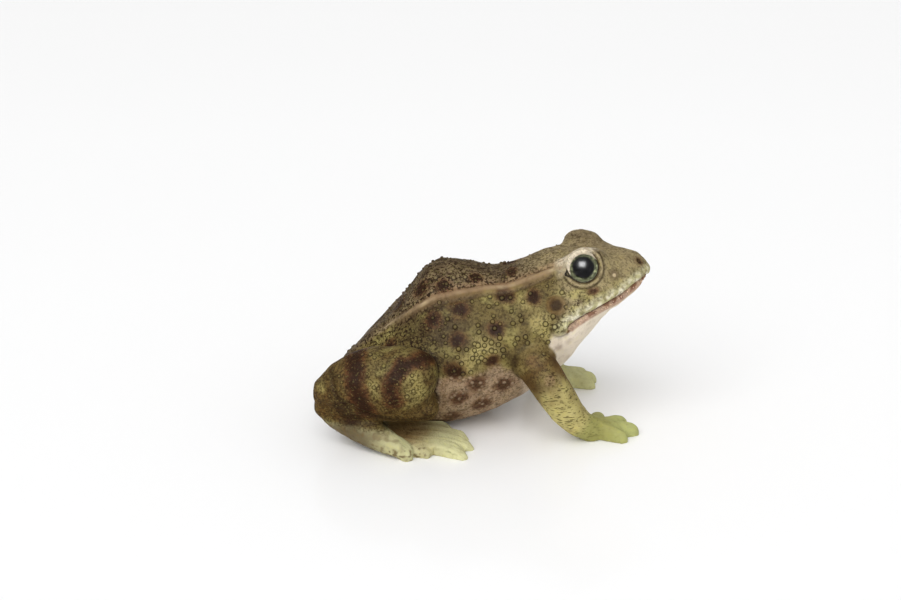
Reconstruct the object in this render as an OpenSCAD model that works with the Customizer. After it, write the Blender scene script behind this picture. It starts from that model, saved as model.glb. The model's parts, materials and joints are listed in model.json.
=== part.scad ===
// Sitting frog figurine: a hollow painted resin casting with limbs cast apart,
// pinned on with dowels, glass eyes set in round seats and a plug in the pour hole.
// Millimetres. X runs from rump to snout, Y to the frog's left, Z up from the ground.

/* [Body casting] */
// Length of the body from rump to snout
body_length = 128; // [100:1:160]
// Width across the flanks
body_width = 62; // [46:1:80]
// Height of the crest of the back above the ground
body_height = 68; // [52:1:88]
// Where the rump starts, measured from the origin
rump_x = -59.5; // [-80:0.1:-40]
// Wall thickness of the hollow casting
wall = 4; // [2.5:0.1:6]

/* [Eyes] */
// Diameter of the glass eye
eye_d = 12.4; // [8:0.1:15]
// How far the glass dome stands above its flat back
eye_dome = 4.4; // [3:0.1:6]
// Thickness of the painted iris disc behind the glass
iris_t = 1.2; // [0.6:0.1:2]
// Clearance round the eye in its seat
eye_clearance = 0.1; // [0.05:0.01:0.3]
// Distance of the eye behind the snout
eye_back = 27.7; // [22:0.1:34]
// Distance of the apex of the eye from the middle plane, on a body of the width as sculpted
eye_out = 19; // [16:0.1:22]
// Height of the apex of the eye, on a body of the height as sculpted
eye_up = 70.8; // [60:0.1:84]
// How far the brow swells above the skull
brow_rise = 5.6; // [3:0.1:9]
// Radius of the swelling of the brow
brow_r = 10.4; // [8:0.1:14]

/* [Skin relief] */
// Height of the fold along each side of the back
fold_rise = 1.3; // [0:0.1:3]
// Height of the lips on both sides of the mouth
lip_rise = 0.6; // [0:0.1:1.5]
// Depth of the line of the mouth
mouth_depth = 0.8; // [0:0.1:1.5]
// Width of the upper lid
lid_w = 1.5; // [1:0.1:3]
// How far the upper lid is set in front of the middle of the eye
lid_forward = 0.7; // [0:0.1:1.5]
// How far the upper lid stands above the flat back of the glass
lid_rise = 1.7; // [1:0.1:2.5]
// Diameter of a main wart
wart_d = 2.6; // [1.6:0.1:4]
// How far a main wart stands out of the skin
wart_rise = 0.8; // [0.4:0.1:1.5]

/* [Forelegs] */
// Diameter at the upper arm
upper_arm_d = 16.4; // [12:0.5:20]
// Diameter at the middle of the arm
mid_arm_d = 15.4; // [10:0.2:18]
// Diameter at the wrist
wrist_d = 13.2; // [8:0.2:15]
// Reach of the right hand's wrist in front of the shoulder
right_reach = 23; // [14:0.5:32]
// Reach of the left hand's wrist in front of the shoulder
left_reach = 12; // [4:0.5:24]
// Distance of the wrists from the middle plane
wrist_out = 26.5; // [24:0.5:40]
// Width of a finger
finger_w = 7; // [4:0.1:8]
// Thickness of a finger
finger_t = 5.6; // [3:0.1:7]

/* [Hind legs] */
// Length of the folded leg from heel to knee
leg_length = 49.5; // [40:0.5:64]
// Height of the folded leg
leg_height = 29; // [24:0.5:38]
// Thickness of the folded leg
leg_thickness = 26; // [18:0.5:32]
// Height of the middle of the folded leg above the ground
leg_up = 28; // [18:0.5:34]
// Distance of the middle of the folded leg from the middle plane
leg_out = 34; // [28:0.5:42]
// How far the right heel lies behind the rump
heel_back = 8.9; // [2:0.1:14]
// How far the left leg is set in front of the right one
left_leg_forward = 22.5; // [0:0.5:24]
// Width of a toe
toe_w = 5.4; // [3:0.1:8]
// Thickness of a toe
toe_t = 5.2; // [3:0.1:6]
// Thickness of the web between the toes
web_t = 4.1; // [1:0.1:5]

/* [Fixings] */
// Diameter of the dowels that pin the limbs on
dowel_d = 6; // [4:0.1:8]
// Length of a dowel inside the body
dowel_in = 9; // [6:0.5:12]
// Length of a dowel inside a limb
dowel_out = 8; // [5:0.5:10]
// Radial clearance of a dowel in its hole
dowel_clearance = 0.05; // [0.02:0.01:0.2]
// Wall of the boss round a dowel hole
boss_wall = 3; // [2:0.1:5]
// Thickness of the glue line between a limb and the body
glue_gap = 0.2; // [0.1:0.05:0.5]
// Diameter of the pour hole in the belly
pour_d = 16; // [10:0.5:22]
// Diameter of the plug's head
plug_head_d = 21; // [16:0.5:28]
// Thickness of the plug's head
plug_head_t = 1.6; // [1:0.1:3]
// Wall of the plug's cup
plug_wall = 1.6; // [1:0.1:3]
// Radial clearance of the plug
plug_clearance = 0.1; // [0.05:0.01:0.3]
// Distance of the pour hole from the rump
pour_x = 34; // [28:0.5:44]

/* [Hidden] */
$fn = 48;

RIGHT = -1;
LEFT = 1;
skin_colour = [0.42, 0.39, 0.22];
limb_colour = [0.50, 0.49, 0.27];
dowel_colour = [0.62, 0.62, 0.64];
glass_colour = [0.75, 0.80, 0.75, 0.4];
iris_colour = [0.16, 0.18, 0.14];
plug_colour = [0.12, 0.12, 0.12];

// Cross-sections of the body as sculpted, from rump to snout, one row each:
// distance from the rump, height of the crest, half-width and height of the
// fold along the back, of the flank and of the belly's edge, height of the keel
sections = [
    [0,     17,   2,    16.5, 3,    14,   2,    11,   10.5],
    [2,     25,   4.3,  23.8, 10.5, 15,   7,    7,    6],
    [8,     31.3, 5,    30.3, 18,   18,   12.5, 4.8,  3],
    [17,    41.3, 7.8,  38.9, 24.5, 22,   17.5, 4,    2],
    [25,    49.2, 11.5, 46.2, 28.3, 25.5, 20,   4,    1.8],
    [31.5,  58.5, 14.5, 51.8, 30,   28,   21,   4.2,  1.8],
    [37,    65,   16.5, 56.2, 31,   30,   21.5, 4.5,  1.8],
    [44,    68,   17,   58.6, 31,   32,   21,   5,    2],
    [54,    66.6, 15.5, 59.5, 30.5, 34,   19.5, 6.5,  3],
    [66,    63.8, 12.3, 60.6, 29,   37.5, 18,   10.5, 7],
    [76,    67,   12.5, 63,   28,   41,   17,   16,   11.8],
    [85,    71.5, 13.5, 65.8, 27,   45,   16.5, 22.5, 18.3],
    [93.5,  72.6, 14,   67.8, 25.5, 48.5, 16.5, 29.5, 26],
    [103,   73,   13.5, 69,   23.5, 53,   15,   41.5, 38.8],
    [112.5, 73,   11,   69.8, 18.5, 58,   12,   51.5, 49.3],
    [120.5, 71.8, 7.5,  69,   12,   61.7, 8,    57.3, 55.8],
    [125.5, 68.8, 4.5,  67,   7,    63.5, 4.7,  60.3, 59.3],
    [128,   66,   1.5,  65.7, 2.2,  64,   1.5,  62.6, 62.4]
];
section_last = len(sections) - 1;
sculpt_length = sections[section_last][0];
sculpt_width = 2 * max([for (s = sections) s[4]]);
sculpt_height = sections[7][1];
length_scale = body_length / sculpt_length;
width_scale = body_width / sculpt_width;
height_scale = body_height / sculpt_height;

rings_per_section = 3;
// Places of a ring's points from crest to keel, closer at the fold and at the mouth
fold_turn = 1;
mouth_turn = 2;
half_ring = [0, 0.2, 0.4, 0.6, 0.76, 0.9, 1, 1.1, 1.24, 1.44,
             1.66, 1.85, 2, 2.15, 2.34, 2.56, 2.78, 3, 3.3, 3.65];
ring_turns = concat(half_ring, [4], [for (i = [len(half_ring) - 1:-1:1]) 8 - half_ring[i]]);
fold_half = 0.1;
lip_half = 0.15;
cavity_rings = 2;
cavity_first = 1.6;
cavity_last = 12.1;

// Eyes: a seat in each brow, its axis leaning up and a little forward
eye_axis = [0.08, 0.95, 0.3];
eye_r = eye_d / 2;
eye_x = rump_x + body_length - eye_back;
eye_y = eye_out * width_scale;
eye_z = eye_up * height_scale;
dome_r = (eye_r * eye_r + eye_dome * eye_dome) / (2 * eye_dome);
// The brow swells from this place on the skull, and goes with the eye that it carries
brow_y = 10.5 * width_scale;
brow_z = 69.4 * height_scale;
brow_axis = [0, 0.42, 0.9];
eye_from_brow = [0, 8.5 * width_scale, 1.4 * height_scale];

// Where the limbs meet the body: section number and place round the section
shoulder_section = 10.5;
shoulder_turn = 2.42;
hip_section = 3.6;
left_hip_section = hip_section + left_leg_forward / (14 * length_scale);
hip_turn = 2.05;

// Main warts: section number, place round the section and size as a share of a main wart
main_warts = [
    [6.75, 1.16, 0.8], [8.95, 1.30, 0.9], [9.45, 1.26, 0.8], [8.80, 1.46, 1], [8.85, 1.62, 1],
    [9.50, 1.46, 0.9], [9.90, 1.62, 1], [9.95, 1.36, 0.9], [8.50, 1.72, 1], [8.95, 1.80, 1],
    [8.20, 1.74, 1], [8.50, 1.90, 1], [8.10, 1.92, 1], [7.60, 1.76, 0.9], [7.10, 1.82, 0.9],
    [7.70, 1.96, 0.9], [8.30, 1.52, 0.9], [7.45, 1.48, 0.9], [9.75, 1.80, 1], [7.10, 0.80, 0.8],
    [6.50, 0.60, 0.8], [6.30, 0.84, 0.8], [7.85, 0.66, 0.8], [5.80, 0.50, 0.8], [4.40, 0.22, 0.6],
    [5.00, 0.10, 0.6], [5.50, 0.24, 0.7], [6.10, 0.12, 0.7], [6.80, 0.22, 0.7], [7.50, 0.10, 0.7],
    [8.30, 0.22, 0.6], [9.20, 0.12, 0.6]];
wart_root = 0.35;

// Curves

function at(list, i) = list[max(0, min(len(list) - 1, i))];
function around(list, i) = list[(i + 2 * len(list)) % len(list)];
function through(a, b, c, d, t) =
    0.5 * (2 * b + (c - a) * t + (2 * a - 5 * b + 4 * c - d) * t * t + (3 * b - a - 3 * c + d) * t * t * t);
function spline(list, t) = let (i = min(floor(t), len(list) - 2), f = t - i)
    through(at(list, i - 1), at(list, i), at(list, i + 1), at(list, i + 2), f);
function loop_spline(list, t) = let (i = floor(t), f = t - i)
    through(around(list, i - 1), around(list, i), around(list, i + 1), around(list, i + 2), f);
function unit(v) = v / norm(v);
function mean(points) = [for (k = [0:2]) [for (p = points) p[k]] * [for (p = points) 1 / len(points)]];
function bell(q) = q >= 1 ? 0 : pow(1 - q * q * q, 2);
function sided(v, side) = [v[0], v[1] * side, v[2]];

// A closed skin over rings of points, with a fan at each end
module skin(rings) {
    n = len(rings[0]);
    last = len(rings) - 1;
    points = concat([for (r = rings) each r], [mean(rings[0]), mean(rings[last])]);
    start = len(rings) * n;
    sides = [for (i = [0:last - 1]) for (j = [0:n - 1])
        let (a = i * n + j, b = i * n + (j + 1) % n) each [[a, b, a + n], [b, b + n, a + n]]];
    ends = [for (j = [0:n - 1]) let (k = (j + 1) % n)
        each [[start, k, j], [start + 1, last * n + j, last * n + k]]];
    polyhedron(points, concat(sides, ends), convexity = 8);
}

// Body

function section_nodes(s) = [
    [0, s[1]], [s[2], s[3]], [s[4], s[5]], [s[6], s[7]],
    [0, s[8]], [-s[6], s[7]], [-s[4], s[5]], [-s[2], s[3]]];
function brow_lift(p, side) =
    let (c = [eye_x + 1.6, brow_y, brow_z],
         follow = [0, eye_y, eye_z] - [0, brow_y, brow_z] - eye_from_brow)
    sided(unit(brow_axis) * brow_rise + follow, side) * bell(norm(p - sided(c, side)) / brow_r);
function ramp(t, from, to) = max(0, min(1, (t - from) / (to - from)));
function peak(turn, top, half) = max(0, 1 - abs(turn - top) / half);
// Height of the fold and of the lips, and depth of the mouth between them
function relief(t, turn) =
    let (u = turn > 4 ? 8 - turn : turn,
         fold = ramp(t, 2, 5) * ramp(t, 12.2, 10.5),
         mouth = ramp(t, 11.7, 12.5) * ramp(t, 17, 16.3))
    fold_rise * fold * peak(u, fold_turn, fold_half)
    + lip_rise * mouth * (peak(u, mouth_turn - lip_half, lip_half) + peak(u, mouth_turn + lip_half, lip_half))
    - mouth_depth * mouth * peak(u, mouth_turn, lip_half);
function body_point(t, turn, grow = 0) =
    let (s = spline(sections, t),
         flat = loop_spline(section_nodes(s), turn),
         y = flat[0] * width_scale,
         z = flat[1] * height_scale,
         middle = (s[1] + s[8]) / 2 * height_scale,
         out = unit([y, z - middle]) * (grow + relief(t, turn)),
         p = [rump_x + s[0] * length_scale, y + out[0], z + out[1]])
    p + brow_lift(p, LEFT) + brow_lift(p, RIGHT);
function body_ring(t, grow) =
    [for (turn = ring_turns) body_point(t, turn, grow)];

// The body from one section to another, grown outwards
module body_solid(grow = 0, first = 0, last = section_last) {
    steps = round((last - first) * rings_per_section);
    skin([for (i = [0:steps]) body_ring(first + i / rings_per_section, grow)]);
}

module body_cavity() {
    steps = round((cavity_last - cavity_first) * cavity_rings);
    skin([for (i = [0:steps]) body_ring(cavity_first + (cavity_last - cavity_first) * i / steps, -wall)]);
}

// Points a module along an axis, with its foot at a place
module along(place, axis) {
    a = unit(axis);
    translate(place) rotate([0, acos(a[2]), atan2(a[1], a[0])]) children();
}

// Seats of the limbs and the dowels in them

function shoulder_place(side) = sided(body_point(shoulder_section, shoulder_turn), side);
function hip_place(side) =
    sided(body_point(side == LEFT ? left_hip_section : hip_section, hip_turn), side);
function shoulder_axis(side) = sided([0.3, 0.84, -0.45], side);
function hip_axis(side) = [0, side, 0];

module dowel(place, axis) {
    along(place - unit(axis) * dowel_in, axis) cylinder(d = dowel_d, h = dowel_in + dowel_out);
}
module dowel_hole(place, axis) {
    along(place - unit(axis) * (dowel_in + glue_gap), axis)
        cylinder(d = dowel_d + 2 * dowel_clearance, h = dowel_in + dowel_out + 2 * glue_gap);
}
module dowel_boss(place, axis) {
    along(place - unit(axis) * (dowel_in + boss_wall), axis)
        cylinder(d = dowel_d + 2 * boss_wall, h = dowel_in + boss_wall);
}

// Eyes

function eye_apex(side) = [eye_x, side * eye_y, eye_z];
function eye_back_place(side) = eye_apex(side) - unit(sided(eye_axis, side)) * (eye_dome + iris_t);

module eye_seat(side) {
    along(eye_back_place(side), sided(eye_axis, side))
        cylinder(r = eye_r + eye_clearance, h = 2 * eye_d);
}
// The upper lid lies over the glass from the front corner of the eye to the rear one
module upper_lid(side) {
    from = 121;
    sweep = 152;
    r = eye_r + eye_clearance;
    along(eye_back_place(side), sided(eye_axis, side))
        translate([0.2, -side * lid_forward, iris_t])
            rotate([0, 0, side == RIGHT ? from : 360 - from - sweep])
                rotate_extrude(angle = sweep)
                    polygon([[r - 0.5, -iris_t], [r - 0.5, lid_rise * 0.6], [r, lid_rise],
                             [r + lid_w * 0.32, lid_rise], [r + lid_w * 0.64, lid_rise * 0.45],
                             [r + lid_w * 0.86, -lid_rise * 0.35], [r + lid_w, -lid_rise * 1.5],
                             [r + lid_w * 0.95, -lid_rise * 3], [r, -lid_rise * 3]]);
}
module eye_iris(side) {
    along(eye_back_place(side), sided(eye_axis, side)) cylinder(r = eye_r, h = iris_t);
}
module eye_lens(side) {
    along(eye_back_place(side), sided(eye_axis, side))
        translate([0, 0, iris_t])
            intersection() {
                cylinder(r = eye_r, h = eye_dome);
                translate([0, 0, eye_dome - dome_r]) sphere(r = dome_r);
            }
}

// Plug

function keel_height() = body_point(5, 4)[2];
module pour_hole() {
    translate([rump_x + pour_x, 0, -1]) cylinder(d = pour_d, h = wall + 2 * pour_d);
    translate([rump_x + pour_x, 0, -1])
        cylinder(d = plug_head_d + 2 * plug_clearance, h = 1 + keel_height() + plug_head_t);
}
module plug() {
    foot = keel_height();
    cup = pour_d - 2 * plug_clearance;
    translate([rump_x + pour_x, 0, foot])
        difference() {
            union() {
                cylinder(d = plug_head_d, h = plug_head_t);
                cylinder(d = cup, h = plug_head_t + wall + 1);
            }
            translate([0, 0, plug_head_t]) cylinder(d = cup - 2 * plug_wall, h = wall + 2);
        }
}

// Limbs: a tube through rows of place, half-width and half-height

tube_level = [1, 0, 1];

function place_of(row) = [row[0], row[1], row[2]];
function run_at(path, t) =
    unit(place_of(spline(path, min(len(path) - 1, t + 0.05))) - place_of(spline(path, max(0, t - 0.05))));
// Carries a sideways direction along the runs without twisting it
function carried(runs, from, i = 0) = i == len(runs) ? [] :
    let (a = unit(from - runs[i] * (from * runs[i]))) concat([a], carried(runs, a, i + 1));
module tube(path, sides, steps) {
    ts = [for (i = [0:steps]) (len(path) - 1) * i / steps];
    runs = [for (t = ts) run_at(path, t)];
    across = carried(runs, cross(runs[0], tube_level));
    skin([for (i = [0:steps])
        let (row = spline(path, ts[i]), up = cross(across[i], runs[i]))
        [for (k = [0:sides - 1]) let (a = -360 * k / sides)
            place_of(row) + across[i] * row[3] * sin(a) + up * row[4] * cos(a)]]);
}

// A splayed foot on the ground, seen from its heel: toes are rows of direction and length

tip_arc = [-60:30:60];
function toe_gap(toes, i) = min([for (j = [0:len(toes) - 1]) if (j != i) abs(toes[j][0] - toes[i][0])]);
function toe_half(toes, i, width) = let (k = tan(min(40, 0.45 * toe_gap(toes, i))))
    min(width / 2, toes[i][1] * k / (1 + k));
function toe_root(toes, i, j, width, web) =
    let (h = toe_half(toes, i, width), other = at(toes, j)[1], l = toes[i][1])
    min(l - h, max(web * min(l, max(other, 0.72 * l)), h / sin(min(40, 0.45 * toe_gap(toes, i)))));
function toe_outline(toes, i, width, web) =
    let (h = toe_half(toes, i, width), l = toes[i][1] - h, a = toes[i][0],
         before = toe_root(toes, i, i - 1, width, web), after = toe_root(toes, i, i + 1, width, web))
    concat([[a - asin(h / before), before]],
           [for (t = tip_arc) let (x = l + h * cos(t), y = h * sin(t)) [a + atan2(y, x), norm([x, y])]],
           [[a + asin(h / after), after]]);
function web_reach(a, b, web) =
    web * 2 * a[1] * b[1] * cos((b[0] - a[0]) / 2) / (a[1] + b[1]);
function web_middle(toes, i, web) =
    [(toes[i][0] + toes[i + 1][0]) / 2, 0.97 * web_reach(toes[i], toes[i + 1], web)];
function foot_outline(toes, width, web, heel) =
    let (last = len(toes) - 1,
         front = [for (i = [0:last]) each concat(toe_outline(toes, i, width, web),
                                                 i < last ? [web_middle(toes, i, web)] : [])],
         from = front[len(front) - 1][0] + 12,
         to = front[0][0] + 348)
    concat(front, [for (k = [0:6]) [from + (to - from) * k / 6, heel]]);
function toe_ridge(toes, width, r, turn) =
    max([for (i = [0:len(toes) - 1])
        let (d = turn - toes[i][0], h = toe_half(toes, i, width), off = abs(d) > 60 ? h : r * abs(sin(d)))
        off >= h ? 0 : sqrt(1 - pow(off / h, 2))]);
function foot_height(toes, width, thick, web_thick, heel, heel_t, r, reach, turn) =
    let (ridge = web_thick + (thick - web_thick) * toe_ridge(toes, width, r, turn),
         f = min(1, r / (2.6 * heel)),
         edge = sqrt(1 - pow(r / reach, 8)))
    (ridge + (heel_t - ridge) * pow(1 - f, 1.5)) * edge;

module foot(toes, width, thick, web, web_thick, heel, heel_t) {
    outline = foot_outline(toes, width, web, heel);
    shares = [0.22, 0.42, 0.60, 0.76, 0.88, 0.96, 1];
    steps = len(shares);
    n = len(outline);
    rim = [for (share = shares) for (o = outline)
        let (r = o[1] * share)
        [r * cos(o[0]), r * sin(o[0]),
         share == 1 ? 0 : foot_height(toes, width, thick, web_thick, heel, heel_t, r, o[1], o[0])]];
    points = concat(rim, [[0, 0, heel_t], [0, 0, 0]]);
    top = steps * n;
    sides = [for (i = [0:steps - 2]) for (j = [0:n - 1])
        let (a = i * n + j, b = i * n + (j + 1) % n) each [[a, b, a + n], [b, b + n, a + n]]];
    ends = [for (j = [0:n - 1]) let (k = (j + 1) % n)
        each [[top, k, j], [top + 1, (steps - 1) * n + j, (steps - 1) * n + k]]];
    polyhedron(points, concat(sides, ends), convexity = 8);
}

// Forelegs

// Each finger's direction, and its length as a share of a finger's width
right_fingers = [[-17, 2.286], [12, 3], [42, 3], [75, 2.786]];
left_fingers = [[-50, 1.429], [-17, 2.5], [9, 2.571], [33, 2.357]];
finger_web = 0.62;
left_wrist_out = 1.17;
function grown(rows, size) = [for (r = rows) [r[0], r[1] * size]];
function flipped(rows) = [for (i = [len(rows) - 1:-1:0]) [-rows[i][0], rows[i][1]]];

function wrist(side) = let (s = shoulder_place(side))
    [s[0] + (side == RIGHT ? right_reach : left_reach),
     side * wrist_out * (side == RIGHT ? 1 : left_wrist_out), 0];
function arm_path(side) =
    let (s = shoulder_place(side), w = wrist(side), u = upper_arm_d / 2, m = mid_arm_d / 2, r = wrist_d / 2)
    [[s[0] - u * 0.24, s[1] - side * u * 0.85, s[2] + u * 0.24, u * 0.9, u * 0.9],
     [s[0], s[1] + side * u * 0.18, s[2] + u * 0.06, u, u],
     [s[0] + (w[0] - s[0]) * 0.40, w[1] + side * m * 0.71, s[2] * 0.62, m, m],
     [w[0] - r * 1.18, w[1] + side * r * 0.42, r * 1.62, r * 0.98, r * 0.98],
     [w[0] - r * 0.50, w[1] + side * r * 0.24, r * 0.96, r * 0.88, r * 0.84],
     [w[0] + r * 0.40, w[1] + side * r * 0.05, r * 0.66, r * 0.70, r * 0.60],
     [w[0] + r * 1.00, w[1] - side * r * 0.08, r * 0.60, r * 0.42, r * 0.38]];

module foreleg(side) {
    place = shoulder_place(side);
    difference() {
        union() {
            tube(arm_path(side), 20, 20);
            translate(wrist(side))
                foot(grown(side == RIGHT ? right_fingers : left_fingers, finger_w),
                     finger_w, finger_t, finger_web, finger_t * 0.6, wrist_d * 0.38, finger_t * 1.75);
        }
        body_solid(glue_gap, 8, 14);
        dowel_hole(place, shoulder_axis(side));
    }
}

// Hind legs

// Each toe's direction, and its length as a share of the folded leg's length
toes = [[-10.5, 0.74], [2.5, 0.85], [14.5, 0.92], [27, 0.94], [51, 0.60]];
toe_web = 0.96;

function heel_x(side) = rump_x - heel_back + (side == LEFT ? left_leg_forward : 0);
function leg_path(side) =
    let (x = heel_x(side), y = side * leg_out, a = leg_thickness / 2, b = leg_height / 2, l = leg_length)
    [[x,            y * 0.97, leg_up * 0.82, a * 0.08, b * 0.08],
     [x + l * 0.03, y * 0.97, leg_up * 0.82, a * 0.34, b * 0.30],
     [x + l * 0.13, y * 0.98, leg_up * 0.85, a * 0.58, b * 0.52],
     [x + l * 0.28, y * 0.99, leg_up * 0.93, a * 0.82, b * 0.79],
     [x + l * 0.48, y,        leg_up * 0.99, a * 0.97, b * 0.98],
     [x + l * 0.68, y * 1.02, leg_up * 1.01, a,        b * 1.02],
     [x + l * 0.86, y * 1.03, leg_up * 0.99, a * 0.90, b * 0.92],
     [x + l * 0.96, y * 1.04, leg_up * 0.95, a * 0.58, b * 0.64],
     [x + l,        y * 1.05, leg_up * 0.93, a * 0.10, b * 0.10]];
// The shank is folded flat under the thigh, from the heel to the knee
function shank_path(side) =
    let (x = heel_x(side), y = side * leg_out, a = leg_thickness / 2, b = leg_height / 2, l = leg_length)
    [[x + l * 0.12, y * 0.95, leg_up * 0.64, a * 0.10, b * 0.08],
     [x + l * 0.17, y * 0.95, leg_up * 0.63, a * 0.42, b * 0.28],
     [x + l * 0.40, y * 0.97, leg_up * 0.61, a * 0.66, b * 0.36],
     [x + l * 0.70, y * 0.98, leg_up * 0.60, a * 0.72, b * 0.39],
     [x + l * 0.93, y * 0.98, leg_up * 0.61, a * 0.66, b * 0.40],
     [x + l,        y * 0.98, leg_up * 0.62, a * 0.46, b * 0.32],
     [x + l * 1.02, y * 0.98, leg_up * 0.63, a * 0.08, b * 0.08]];
function ankle(side) = [heel_x(side) + leg_length * 0.424, side * leg_out * 0.81, 0];
function tarsus_path(side) =
    let (p = ankle(side), l = leg_length, a = leg_thickness, h = leg_up)
    [[p[0] - l * 0.343, p[1] + side * a * 0.200, h * 0.770, a * 0.038, h * 0.036],
     [p[0] - l * 0.307, p[1] + side * a * 0.170, h * 0.645, a * 0.200, h * 0.200],
     [p[0] - l * 0.212, p[1] + side * a * 0.110, h * 0.404, a * 0.225, h * 0.218],
     [p[0] + l * 0.040, p[1] + side * a * 0.404, h * 0.250, a * 0.231, h * 0.207],
     [p[0] + l * 0.212, p[1] + side * a * 0.635, h * 0.171, a * 0.192, h * 0.161],
     [p[0] + l * 0.333, p[1] + side * a * 0.788, h * 0.104, a * 0.123, h * 0.096],
     [p[0] + l * 0.380, p[1] + side * a * 0.865, h * 0.079, a * 0.031, h * 0.029]];

module hind_leg(side) {
    difference() {
        union() {
            tube(leg_path(side), 24, 24);
            tube(shank_path(side), 16, 16);
            tube(tarsus_path(side), 16, 18);
            translate(ankle(side))
                foot(grown(side == LEFT ? toes : flipped(toes), leg_length),
                     toe_w, toe_t, toe_web, web_t, toe_w * 0.83, toe_t * 1.59);
        }
        body_solid(glue_gap, 0, 10);
        dowel_hole(hip_place(side), hip_axis(side));
    }
}

// Warts on the body, left out where a limb lies over them

function clear_of(path, p) = min([for (r = path) norm(p - place_of(r)) - max(r[3], r[4])]) > wart_d;
module warts(side) {
    for (w = main_warts) {
        p = sided(body_point(w[0], w[1]), side);
        out = unit(sided(body_point(w[0], w[1], 1), side) - p);
        d = wart_d * w[2];
        if (clear_of(leg_path(side), p) && clear_of(arm_path(side), p))
            along(p - out * d * wart_root, out)
                cylinder(d1 = d * 1.2, d2 = d * 0.45, h = d * wart_root + wart_rise * w[2]);
    }
}

// Pieces

module body_shell() {
    color(skin_colour)
        difference() {
            union() {
                body_solid();
                for (side = [RIGHT, LEFT]) {
                    upper_lid(side);
                    warts(side);
                }
            }
            difference() {
                body_cavity();
                for (side = [RIGHT, LEFT]) {
                    dowel_boss(shoulder_place(side), shoulder_axis(side));
                    dowel_boss(hip_place(side), hip_axis(side));
                }
            }
            for (side = [RIGHT, LEFT]) {
                dowel_hole(shoulder_place(side), shoulder_axis(side));
                dowel_hole(hip_place(side), hip_axis(side));
                eye_seat(side);
            }
            pour_hole();
        }
}
module right_foreleg() { color(limb_colour) foreleg(RIGHT); }
module left_foreleg() { color(limb_colour) foreleg(LEFT); }
module right_hind_leg() { color(limb_colour) hind_leg(RIGHT); }
module left_hind_leg() { color(limb_colour) hind_leg(LEFT); }
module right_shoulder_dowel() { color(dowel_colour) dowel(shoulder_place(RIGHT), shoulder_axis(RIGHT)); }
module left_shoulder_dowel() { color(dowel_colour) dowel(shoulder_place(LEFT), shoulder_axis(LEFT)); }
module right_hip_dowel() { color(dowel_colour) dowel(hip_place(RIGHT), hip_axis(RIGHT)); }
module left_hip_dowel() { color(dowel_colour) dowel(hip_place(LEFT), hip_axis(LEFT)); }
module right_eye_lens() { color(glass_colour) eye_lens(RIGHT); }
module left_eye_lens() { color(glass_colour) eye_lens(LEFT); }
module right_eye_iris() { color(iris_colour) eye_iris(RIGHT); }
module left_eye_iris() { color(iris_colour) eye_iris(LEFT); }
module pour_hole_plug() { color(plug_colour) plug(); }

body_shell();
right_foreleg();
left_foreleg();
right_hind_leg();
left_hind_leg();
right_shoulder_dowel();
left_shoulder_dowel();
right_hip_dowel();
left_hip_dowel();
right_eye_lens();
left_eye_lens();
right_eye_iris();
left_eye_iris();
pour_hole_plug();
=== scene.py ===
# %% [markdown]
# # A painted resin frog
# The real thing is a sitting frog cast in resin: a hollow body, four limbs pinned to it, and
# two glass eyes. All of its character is in the painted, warty skin, so most of this lesson
# is about turning the plain CAD castings into that skin. The CAD model comes in as a fixed
# frame, in metres, and nothing in it is moved.

# %% Load the frame
import json
import math
import random

import bmesh
import bpy
import numpy as np
from mathutils import Matrix, Vector, noise
from mathutils.bvhtree import BVHTree
from mathutils.kdtree import KDTree

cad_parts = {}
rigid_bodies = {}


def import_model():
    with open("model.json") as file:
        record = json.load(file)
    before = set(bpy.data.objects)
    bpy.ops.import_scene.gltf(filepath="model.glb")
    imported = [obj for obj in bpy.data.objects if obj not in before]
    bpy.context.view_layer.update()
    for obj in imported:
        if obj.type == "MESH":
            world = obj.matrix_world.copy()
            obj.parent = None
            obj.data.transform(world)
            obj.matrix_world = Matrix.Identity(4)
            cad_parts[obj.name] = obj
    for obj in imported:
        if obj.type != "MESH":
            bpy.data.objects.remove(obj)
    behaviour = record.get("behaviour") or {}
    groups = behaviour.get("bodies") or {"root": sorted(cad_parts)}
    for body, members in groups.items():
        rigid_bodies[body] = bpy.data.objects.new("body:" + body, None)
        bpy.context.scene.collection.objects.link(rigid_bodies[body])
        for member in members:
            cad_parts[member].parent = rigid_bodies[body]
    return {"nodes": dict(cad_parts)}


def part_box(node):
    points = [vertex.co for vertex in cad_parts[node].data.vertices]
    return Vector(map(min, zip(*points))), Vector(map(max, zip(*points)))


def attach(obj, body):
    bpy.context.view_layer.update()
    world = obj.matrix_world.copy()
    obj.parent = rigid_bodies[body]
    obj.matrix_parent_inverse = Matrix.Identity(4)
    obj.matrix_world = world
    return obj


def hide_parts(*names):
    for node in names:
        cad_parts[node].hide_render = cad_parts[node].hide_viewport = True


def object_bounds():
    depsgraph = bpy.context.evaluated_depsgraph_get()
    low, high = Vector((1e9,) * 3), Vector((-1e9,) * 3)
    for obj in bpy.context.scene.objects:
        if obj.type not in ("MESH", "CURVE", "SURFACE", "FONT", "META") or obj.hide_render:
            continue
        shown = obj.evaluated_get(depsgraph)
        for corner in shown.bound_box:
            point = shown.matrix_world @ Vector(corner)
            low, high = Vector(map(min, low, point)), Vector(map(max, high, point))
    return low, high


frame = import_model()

cad_low, cad_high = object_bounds()
MM = 0.001
cad_size = [round(v / MM, 1) for v in cad_high - cad_low]
print("CAD nodes:", len(frame["nodes"]), "size in mm:", cad_size)

# %% [markdown]
# ## Copies of the castings
# The castings are exact solids made of a few thousand flat facets. A skin needs many small,
# even faces that can be pushed about like clay. One could subdivide, but the facets left by
# the CAD cuts are slivers, so the copies are welded and then remeshed with voxels, which
# also melts pieces that overlap into one surface.

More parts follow.
